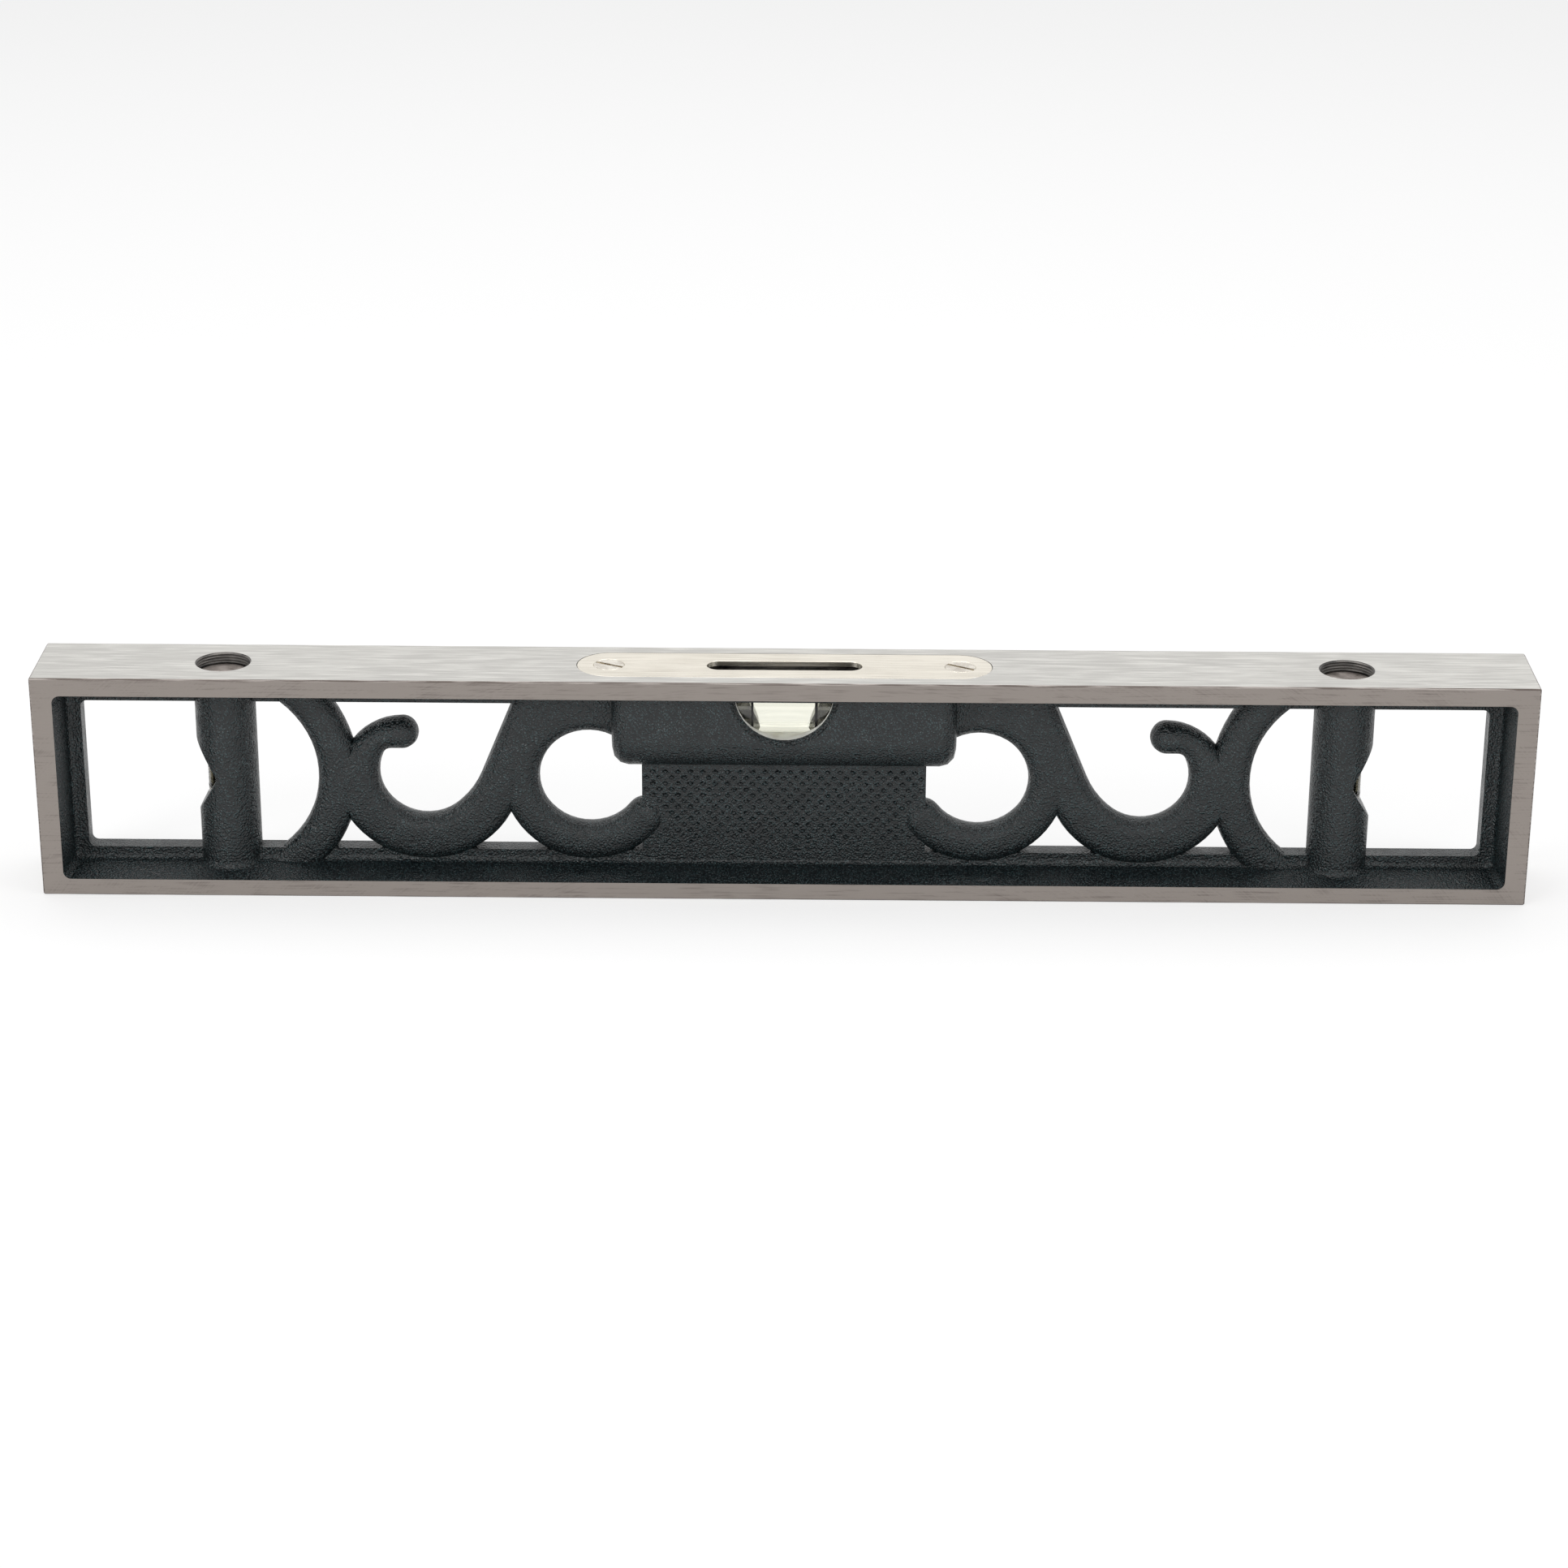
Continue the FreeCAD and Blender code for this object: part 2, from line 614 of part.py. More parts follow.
def cap_screw(side):
    """The cheese-head screw through a cap's tongue; the right one sets the vial."""
    x = side * CAP_SCREW_X
    under_head = MAIN_AXIS_Z + TONGUE_THICKNESS / 2
    top = under_head + CAP_SCREW_HEAD_HEIGHT
    foot = MAIN_AXIS_Z - TONGUE_THICKNESS / 2 - CAP_SCREW_GRIP
    if side > 0:
        foot -= SPRING_GAP
    screw = turned(
        [
            (0, top), (CAP_SCREW_HEAD, top), (CAP_SCREW_HEAD, under_head), (CAP_SCREW_SHANK, under_head),
            (CAP_SCREW_SHANK, foot), (0, foot),
        ],
        x,
    )
    return slotted(screw, x, top, CAP_SCREW_TURN)


def adjusting_spring():
    """The bowed leaf that holds the right cap's tongue up against its screw."""
    low = MAIN_AXIS_Z - TONGUE_THICKNESS / 2 - SPRING_GAP
    rise = SPRING_GAP - SPRING_LEAF
    half = SPRING_HALF_SPAN
    width = SPRING_HALF_WIDTH

    def bow(lift):
        return [
            VECTOR(CAP_SCREW_X - half, -width, low + lift),
            VECTOR(CAP_SCREW_X, -width, low + lift + rise),
            VECTOR(CAP_SCREW_X + half, -width, low + lift),
        ]

    lower = bow(0.0)
    upper = bow(SPRING_LEAF)
    edges = [
        Part.Arc(*lower).toShape(),
        Part.LineSegment(lower[2], upper[2]).toShape(),
        Part.Arc(*reversed(upper)).toShape(),
        Part.LineSegment(upper[0], lower[0]).toShape(),
    ]
    leaf = Part.Face(Part.Wire(edges)).extrude(ACROSS * 2 * width)
    hole = Part.makeCylinder(SPRING_HOLE, 2 * SPRING_GAP, VECTOR(CAP_SCREW_X, 0, low - OVERRUN))
    return leaf.cut(hole)


def plumb_levels():
    """The heights at which the pieces in a post meet, from the bore's floor up."""
    glass_low = PLUMB_BORE_FLOOR + PLUMB_PAD_LOWER
    glass_high = PLUG_SHOULDER - PLUMB_PAD_UPPER
    return glass_low, glass_high


def plumb_vial_glass(x):
    low, high = plumb_levels()
    end = PLUMB_GLASS_END
    outer = upright_bar(PLUMB_GLASS_RADIUS, low, high)
    glass = outer.cut(upright_bar(PLUMB_GLASS_RADIUS - PLUMB_GLASS_WALL, low + end, high - end))
    glass.translate(VECTOR(x, 0, 0))
    return glass


def plumb_vial_spirit(x):
    """The spirit in a plumb vial; with the level on its base its air lies at the top."""
    low, high = plumb_levels()
    end = PLUMB_GLASS_END
    spirit = upright_bar(PLUMB_GLASS_RADIUS - PLUMB_GLASS_WALL, low + end, high - end - PLUMB_AIR_GAP)
    spirit.translate(VECTOR(x, 0, 0))
    return spirit


def plumb_pad(x, z_low, z_high):
    """A soft disc between a plumb vial's end and what holds it."""
    pad = upright_bar(PLUMB_BORE - THREAD_GAP, z_low, z_high)
    pad.translate(VECTOR(x, 0, 0))
    return pad


def plumb_plug(x):
    """The threaded plug that closes a post, with a driver slot along the level."""
    top = HEIGHT - PLUG_RECESS
    plug = turned(
        [
            (0, PLUG_SHOULDER), (PLUG_RADIUS, PLUG_SHOULDER), (PLUG_RADIUS, top - PLUG_CHAMFER),
            (PLUG_RADIUS - PLUG_CHAMFER, top), (0, top),
        ],
        x,
    )
    slot = Part.makeBox(
        4 * PLUG_RADIUS, PLUG_SLOT_WIDTH, PLUG_SLOT_DEPTH + OVERRUN,
        VECTOR(x - 2 * PLUG_RADIUS, -PLUG_SLOT_WIDTH / 2, top - PLUG_SLOT_DEPTH)
    )
    return plug.cut(slot)


def all_pieces():
    """Every separate piece of the level, by the name of its node."""
    pieces = {
        "frame_casting": frame_casting(),
        "top_plate": top_plate(),
        "top_plate_screw_left": plate_screw("left"),
        "top_plate_screw_right": plate_screw("right"),
        "main_vial_glass": main_vial_glass(),
        "main_vial_spirit": main_vial_spirit(),
        "main_vial_cap_left": main_vial_cap(-1),
        "main_vial_cap_right": main_vial_cap(1),
        "main_vial_fixing_screw": cap_screw(-1),
        "main_vial_adjusting_screw": cap_screw(1),
        "main_vial_adjusting_spring": adjusting_spring(),
    }
    low, high = plumb_levels()
    for name, x in (("left", -POST_X), ("right", POST_X)):
        pieces["plumb_vial_glass_" + name] = plumb_vial_glass(x)
        pieces["plumb_vial_spirit_" + name] = plumb_vial_spirit(x)
        pieces["plumb_vial_lower_pad_" + name] = plumb_pad(x, PLUMB_BORE_FLOOR, low)
        pieces["plumb_vial_upper_pad_" + name] = plumb_pad(x, high, PLUG_SHOULDER)
        pieces["plumb_plug_" + name] = plumb_plug(x)
    return pieces


def main():
    os.makedirs("parts", exist_ok=True)
    for name, shape in all_pieces().items():
        solids = shape.Solids
        if len(solids) != 1 or not shape.isValid():
            print("CHECK", name, "solids", len(solids), "valid", shape.isValid())
        solid = solids[0]
        solid.exportStep("parts/" + name + ".step")
        print(name, round(solid.Volume / 1000, 3), "cm3")


main()
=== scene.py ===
"""Looks of an 18 inch cast-iron machinist's level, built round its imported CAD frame.

Everything is in metres. +X runs along the level, +Y from its front to its back
and +Z up, with the base face at height zero.
"""

import logging
import math
from dataclasses import dataclass
from enum import Enum
from typing import Callable

import bpy
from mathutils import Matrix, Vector

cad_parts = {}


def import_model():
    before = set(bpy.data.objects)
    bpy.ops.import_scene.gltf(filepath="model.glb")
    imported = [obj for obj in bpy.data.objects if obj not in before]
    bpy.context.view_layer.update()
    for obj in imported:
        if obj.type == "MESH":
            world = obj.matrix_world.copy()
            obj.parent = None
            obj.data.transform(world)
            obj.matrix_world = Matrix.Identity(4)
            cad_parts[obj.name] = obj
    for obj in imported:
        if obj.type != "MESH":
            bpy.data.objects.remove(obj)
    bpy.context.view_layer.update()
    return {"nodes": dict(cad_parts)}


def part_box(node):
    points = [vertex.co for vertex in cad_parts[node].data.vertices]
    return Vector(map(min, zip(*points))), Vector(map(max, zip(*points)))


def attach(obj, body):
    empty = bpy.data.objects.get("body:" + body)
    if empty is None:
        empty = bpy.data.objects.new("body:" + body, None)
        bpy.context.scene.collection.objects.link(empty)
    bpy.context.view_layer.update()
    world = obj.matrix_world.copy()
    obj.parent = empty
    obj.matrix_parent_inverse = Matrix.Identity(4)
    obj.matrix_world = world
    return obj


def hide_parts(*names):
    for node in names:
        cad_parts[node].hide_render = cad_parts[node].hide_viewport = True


LOG = logging.getLogger("machinist_level")
MM = 0.001
ROUND_SIDES = 96

Colour = tuple[float, float, float]
Place = tuple[float, float, float]
Socket = bpy.types.NodeSocket
Inputs = dict[str | int, object]


class Side(Enum):
    """The end of the level that a paired piece belongs to."""

    LEFT = -1
    RIGHT = 1

    @property
    def word(self) -> str:
        """The side as the node names spell it."""
        return self.name.lower()


class Axis(Enum):
    """The direction that a round piece lies along."""

    ALONG = "X"
    UPRIGHT = "Z"

    @property
    def turn(self) -> Place:
        """How an upright bar is turned to lie along this axis."""
        return (0.0, math.radians(90), 0.0) if self is Axis.ALONG else (0.0, 0.0, 0.0)


class Surface(Enum):
    """The finishes that the one casting carries, in the order of its material slots."""

    ENAMEL = 0
    # GROUND_TOP and GROUND_FLANK are one ground iron, coloured apart as painted light on the top and
    # painted shade on the flanks.
    GROUND_FLANK = 1
    GROUND_TOP = 2
    # BROKEN_EDGE is the same ground iron again, darker as painted shade along the bevels.
    BROKEN_EDGE = 3
    # BORED is iron painted dark as shade in the holes, channel and pockets.
    BORED = 4
    VIAL_BED = 5


# ---- finishes ---------------------------------------------------------------
class Recipe:
    """A material's node tree, written one node at a time round a Principled shader."""

    def __init__(self, name: str) -> None:
        """Start an empty material.

        Args:
            name: the material's name.
        """
        self.material = bpy.data.materials.new(name)
        self.material.use_nodes = True
        self.tree = self.material.node_tree
        self.tree.nodes.clear()
        self.shader = self.add("ShaderNodeBsdfPrincipled", {})
        self.output = self.add("ShaderNodeOutputMaterial", {"Surface": self.shader.outputs["BSDF"]})

    def add(self, kind: str, inputs: Inputs, **settings: object) -> bpy.types.Node:
        """Add a node, set its own properties, and link or set its inputs.

        Args:
            kind: the node's Blender type.
            inputs: a socket to link, or a constant to set, by input name or number.
            settings: properties of the node itself.

        Returns:
            The new node.
        """
        node = self.tree.nodes.new(kind)
        for name, value in settings.items():
            setattr(node, name, value)
        self.feed(node, inputs)
        return node

    def feed(self, node: bpy.types.Node, inputs: Inputs) -> None:
        """Link or set a node's inputs.

        Args:
            node: the node to feed.
            inputs: a socket to link, or a constant to set, by input name or number.
        """
        for name, value in inputs.items():
            if isinstance(value, Socket):
                self.tree.links.new(value, node.inputs[name])
            elif isinstance(value, tuple) and node.inputs[name].type == "RGBA":
                node.inputs[name].default_value = (*value, 1.0)
            else:
                node.inputs[name].default_value = value

    def surface(self, **inputs: object) -> None:
        """Feed the Principled shader; underscores in the names stand for spaces."""
        self.feed(self.shader, {name.replace("_", " "): value for name, value in inputs.items()})

    def place(self, scale: Place = (1.0, 1.0, 1.0)) -> Socket:
        """Object coordinates, stretched along an axis where a grain runs.

        Args:
            scale: how often the pattern repeats along X, Y and Z.

        Returns:
            The socket that carries them.
        """
        coordinates = self.add("ShaderNodeTexCoord", {}).outputs["Object"]
        return self.add("ShaderNodeMapping", {"Vector": coordinates, "Scale": scale}).outputs["Vector"]

    def noise(self, vector: Socket, size: float, detail: float = 2.0) -> Socket:
        """Cloudy noise whose blots are about a given size across.

        Args:
            vector: where to read it.
            size: the blots' size in metres.
            detail: how many finer layers it carries.

        Returns:
            The noise, from 0 to 1.
        """
        inputs = {"Vector": vector, "Scale": 1.0 / size, "Detail": detail}
        return self.add("ShaderNodeTexNoise", inputs).outputs["Fac"]

    def lines(self, distance: Socket, pitch: float) -> Socket:
        """Uneven lines that follow a distance, such as the marks of a cutter.

        Args:
            distance: the distance that the lines are drawn across.
            pitch: the lines' mean spacing in metres.

        Returns:
            The lines, from 0 to 1.
        """
        inputs = {"W": distance, "Scale": 1.0 / pitch, "Detail": 3.0}
        return self.add("ShaderNodeTexNoise", inputs, noise_dimensions="1D").outputs["Fac"]

    def blend(self, factor: Socket, *stops: tuple[float, Colour]) -> Socket:
        """Turn a factor into a colour.

        Args:
            factor: what to read, from 0 to 1.
            stops: the colours, each with its place.

        Returns:
            The colour.
        """
        ramp = self.add("ShaderNodeValToRGB", {"Fac": factor})
        elements = ramp.color_ramp.elements
        while len(elements) < len(stops):
            elements.new(0.5)
        for element, (position, colour) in zip(elements, stops):
            element.position = position
            element.color = (*colour, 1.0)
        return ramp.outputs["Color"]

    def spread(self, factor: Socket, low: float, high: float) -> Socket:
        """Map a noise, which lies mostly between 0.3 and 0.7, to a range.

        Args:
            factor: the noise.
            low: the range's lower end.
            high: its upper end.

        Returns:
            The mapped value.
        """
        inputs = {"Value": factor, "From Min": 0.3, "From Max": 0.7, "To Min": low, "To Max": high}
        return self.add("ShaderNodeMapRange", inputs).outputs["Result"]

    def sum(self, first: Socket, second: Socket, share: float) -> Socket:
        """Add a share of a second value to a first."""
        inputs = {0: second, 1: share, 2: first}
        return self.add("ShaderNodeMath", inputs, operation="MULTIPLY_ADD").outputs["Value"]

    def relief(self, height: Socket, depth: float, strength: float = 1.0) -> Socket:
        """Bump the surface.

        Args:
            height: the pattern, from 0 to 1.
            depth: its full height in metres.
            strength: how much of it shows.

        Returns:
            The normal.
        """
        inputs = {"Height": height, "Distance": depth, "Strength": strength}
        return self.add("ShaderNodeBump", inputs).outputs["Normal"]

    def distance_from(self, centre: Place, keep: Place, mirrored: bool = False) -> Socket:
        """Distance from a line or point of the level.

        Args:
            centre: the line's or point's place.
            keep: 1 for each axis that counts and 0 for each that doesn't.
            mirrored: measure from the mirror image too, where it is nearer.

        Returns:
            The distance in metres.
        """
        vector = self.add("ShaderNodeTexCoord", {}).outputs["Object"]
        if mirrored:
            unsigned = self.add("ShaderNodeVectorMath", {0: vector}, operation="ABSOLUTE")
            vector = unsigned.outputs["Vector"]
        offset = self.add("ShaderNodeVectorMath", {0: vector, 1: centre}, operation="SUBTRACT")
        inputs = {0: offset.outputs["Vector"], 1: keep}
        masked = self.add("ShaderNodeVectorMath", inputs, operation="MULTIPLY")
        length = self.add("ShaderNodeVectorMath", {0: masked.outputs["Vector"]}, operation="LENGTH")
        return length.outputs["Value"]

    def let_light_through(self, tint: Colour) -> None:
        """Let lamp light pass a clear piece, tinted, instead of being stopped by it.

        Args:
            tint: the colour of the light that passes.
        """
        shadow = self.add("ShaderNodeLightPath", {}).outputs["Is Shadow Ray"]
        clear = self.add("ShaderNodeBsdfTransparent", {"Color": tint})
        inputs = {0: shadow, 1: self.shader.outputs["BSDF"], 2: clear.outputs["BSDF"]}
        mix = self.add("ShaderNodeMixShader", inputs)
        self.feed(self.output, {"Surface": mix.outputs["Shader"]})


@dataclass(frozen=True)
class WrinkleEnamel:
    """Green-black enamel baked to a fine wrinkle over rough cast iron, with painted highlight on the raised
    crests and painted shade in the valleys.
    """

    # crest: painted highlight on the wrinkles' raised tops; valley: painted shade in their hollows.
    crest_painted_highlight: Colour = (0.060, 0.098, 0.104)
    slope: Colour = (0.009, 0.022, 0.025)
    valley_painted_shade: Colour = (0.001, 0.003, 0.004)
    grain: float = 0.62 * MM
    depth: float = 0.34 * MM
    wander: float = 1.6
    patch: float = 5.0 * MM

    def make(self) -> bpy.types.Material:
        """Write the material.

        Returns:
            The material.
        """
        recipe = Recipe("wrinkle_enamel")
        place = recipe.place()
        inputs = {"Vector": place, "Scale": 0.5 / self.grain, "Detail": 2.0}
        drift = recipe.add("ShaderNodeTexNoise", inputs).outputs["Color"]
        inputs = {0: drift, 1: (self.wander * self.grain,) * 3, 2: place}
        warped = recipe.add("ShaderNodeVectorMath", inputs, operation="MULTIPLY_ADD")
        cells = recipe.add(
            "ShaderNodeTexVoronoi",
            {"Vector": warped.outputs["Vector"], "Scale": 1.0 / self.grain, "Smoothness": 0.35},
            feature="SMOOTH_F1",
        ).outputs["Distance"]
        patches = recipe.noise(place, self.patch)
        tone = recipe.sum(cells, patches, 0.25)
        # The cells that bump the wrinkles also colour them: painted highlight on their tops, painted shade
        # in their hollows.
        recipe.surface(
            Base_Color=recipe.blend(tone, (0.20, self.crest_painted_highlight), (0.40, self.slope), (0.64, self.valley_painted_shade)),
            Roughness=recipe.spread(patches, 0.26, 0.42),
            IOR=1.52,
            Normal=recipe.relief(cells, -self.depth),
        )
        return recipe.material


@dataclass(frozen=True)
class GroundIron:
    """Bare cast iron, ground flat, with the marks of the wheel; its copies on the casting differ in colour
    as painted light and shade.
    """

    name: str
    light: Colour
    dark: Colour
    arcs: bool
    roughness: tuple[float, float] = (0.34, 0.50)
    grain_size: float = 0.5 * MM
    grain_depth: float = 0.012 * MM
    wheel_z: float = -0.16
    arc_pitch: float = 0.55 * MM
    stain_size: float = 9.0 * MM

    def make(self) -> bpy.types.Material:
        """Write the material.

        Returns:
            The material.
        """
        recipe = Recipe(self.name)
        grain = recipe.noise(recipe.place((0.035, 1.0, 1.0)), self.grain_size, 4.0)
        if self.arcs:
            sweep = recipe.distance_from((0.0, 0.0, self.wheel_z), (1.0, 0.0, 1.0))
            grain = recipe.sum(grain, recipe.lines(sweep, self.arc_pitch), 0.3)
        stain = recipe.noise(recipe.place(), self.stain_size, 5.0)
        tone = recipe.sum(grain, stain, 0.45 if self.arcs else 0.15)
        top = 0.85 if self.arcs else 0.70
        recipe.surface(
            Base_Color=recipe.blend(tone, (0.52, self.dark), (top, self.light)),
            Metallic=0.9,
            Roughness=recipe.spread(grain, *self.roughness),
            Normal=recipe.relief(grain, self.grain_depth, 0.5),
        )
        return recipe.material


@dataclass(frozen=True)
class BoredIron:
    """Iron cut by a drill or tap, painted dark as shade for the holes and pockets that it lines, with blots
    of oil and the cutter's rings.
    """

    # light and dark: far below bare iron, as painted shade inside the holes and pockets.
    light: Colour = (0.16, 0.15, 0.14)
    dark: Colour = (0.035, 0.034, 0.034)

    def make(self) -> bpy.types.Material:
        """Write the material.

        Returns:
            The material.
        """
        recipe = Recipe("bored_iron")
        rings = recipe.noise(recipe.place((0.05, 0.05, 1.0)), 0.5 * MM)
        oil = recipe.noise(recipe.place(), 3.0 * MM, 3.0)
        recipe.surface(
            Base_Color=recipe.blend(recipe.sum(rings, oil, 0.6), (0.6, self.dark), (0.95, self.light)),
            Metallic=0.85,
            Roughness=recipe.spread(oil, 0.3, 0.5),
            Normal=recipe.relief(rings, 0.05 * MM),
        )
        return recipe.material


@dataclass(frozen=True)
class WhiteEnamel:
    """White paint in the vial's bed, so that the bubble reads clearly."""

    clean: Colour = (0.90, 0.90, 0.87)
    soiled: Colour = (0.72, 0.70, 0.64)

    def make(self) -> bpy.types.Material:
        """Write the material.

        Returns:
            The material.
        """
        recipe = Recipe("white_enamel")
        dirt = recipe.noise(recipe.place(), 4.0 * MM, 5.0)
        recipe.surface(
            Base_Color=recipe.blend(dirt, (0.28, self.soiled), (0.5, self.clean)),
            Roughness=recipe.spread(dirt, 0.5, 0.3),
            Normal=recipe.relief(recipe.noise(recipe.place(), 0.8 * MM), 0.05 * MM, 0.4),
        )
        return recipe.material


@dataclass(frozen=True)
class NickelPlating:
    """Satin nickel, brushed along the level and slightly yellowed."""

    light: Colour = (0.80, 0.755, 0.665)
    dark: Colour = (0.66, 0.615, 0.53)

    def make(self) -> bpy.types.Material:
        """Write the material.

        Returns:
            The material.
        """
        recipe = Recipe("satin_nickel")
        grain = recipe.noise(recipe.place((0.02, 1.0, 1.0)), 0.35 * MM, 4.0)
        bloom = recipe.noise(recipe.place(), 14.0 * MM, 4.0)
        tone = recipe.sum(grain, bloom, 0.5)
        recipe.surface(
            Base_Color=recipe.blend(tone, (0.55, self.dark), (0.85, self.light)),
            Metallic=1.0,
            Roughness=recipe.spread(grain, 0.24, 0.36),
            Normal=recipe.relief(grain, 0.006 * MM, 0.4),
        )
        return recipe.material


@dataclass(frozen=True)
class TurnedMetal:
    """Metal faced in a lathe, with rings round the plumb vials' axes."""

    name: str
    light: Colour
    dark: Colour
    axis_x: float
    pitch: float = 0.35 * MM

    def make(self) -> bpy.types.Material:
        """Write the material.

        Returns:
            The material.
        """
        recipe = Recipe(self.name)
        radius = recipe.distance_from((self.axis_x, 0.0, 0.0), (1.0, 1.0, 0.0), mirrored=True)
        rings = recipe.lines(radius, self.pitch)
        smudge = recipe.noise(recipe.place(), 4.0 * MM, 4.0)
        recipe.surface(
            Base_Color=recipe.blend(
                recipe.sum(rings, smudge, 0.5), (0.55, self.dark), (0.9, self.light)
            ),
            Metallic=0.95,
            Roughness=recipe.spread(smudge, 0.3, 0.46),
            Normal=recipe.relief(rings, 0.02 * MM, 0.7),
        )
        return recipe.material


@dataclass(frozen=True)
class PlainMetal:
    """A small turned or rolled piece: fine grain, and tarnish in patches."""

    name: str
    clean: Colour
    tarnished: Colour
    roughness: tuple[float, float] = (0.24, 0.44)

    def make(self) -> bpy.types.Material:
        """Write the material.

        Returns:
            The material.
        """
        recipe = Recipe(self.name)
        grain = recipe.noise(recipe.place((1.0, 0.15, 0.15)), 0.3 * MM)
        tarnish = recipe.noise(recipe.place(), 2.5 * MM, 5.0)
        recipe.surface(
            Base_Color=recipe.blend(tarnish, (0.34, self.tarnished), (0.58, self.clean)),
            Metallic=1.0,
            Roughness=recipe.spread(tarnish, *self.roughness),
            Normal=recipe.relief(grain, 0.01 * MM, 0.5),
        )
        return recipe.material


@dataclass(frozen=True)
class SoftPad:
    """Black packing felt, pressed thin."""

    fibre: Colour = (0.045, 0.043, 0.040)
    shade: Colour = (0.012, 0.012, 0.012)

    def make(self) -> bpy.types.Material:
        """Write the material.

        Returns:
            The material.
        """
        recipe = Recipe("packing_felt")
        fibres = recipe.noise(recipe.place(), 0.25 * MM, 6.0)
        recipe.surface(
            Base_Color=recipe.blend(fibres, (0.35, self.shade), (0.65, self.fibre)),
            Roughness=recipe.spread(fibres, 0.7, 0.95),
            Normal=recipe.relief(fibres, 0.2 * MM),
        )
        return recipe.material


@dataclass(frozen=True)
class ClearBody:
    """Glass or spirit, which bends light and lets lamp light through."""

    name: str
    tint: Colour
    ior: float

    def make(self) -> bpy.types.Material:
        """Write the material.

        Returns:
            The material.
        """
        recipe = Recipe(self.name)
        recipe.surface(Base_Color=self.tint, Roughness=0.0, IOR=self.ior, Transmission_Weight=1.0)
        recipe.let_light_through(self.tint)
        return recipe.material


@dataclass(frozen=True)
class ReadingInk:
    """The fired black line on a vial."""

    worn: Colour = (0.020, 0.019, 0.018)
    solid: Colour = (0.004, 0.004, 0.004)

    def make(self) -> bpy.types.Material:
        """Write the material.

        Returns:
            The material.
        """
        recipe = Recipe("reading_ink")
        wear = recipe.noise(recipe.place(), 0.4 * MM, 3.0)
        recipe.surface(
            Base_Color=recipe.blend(wear, (0.4, self.solid), (0.7, self.worn)),
            Roughness=recipe.spread(wear, 0.3, 0.5),
        )
        return recipe.material


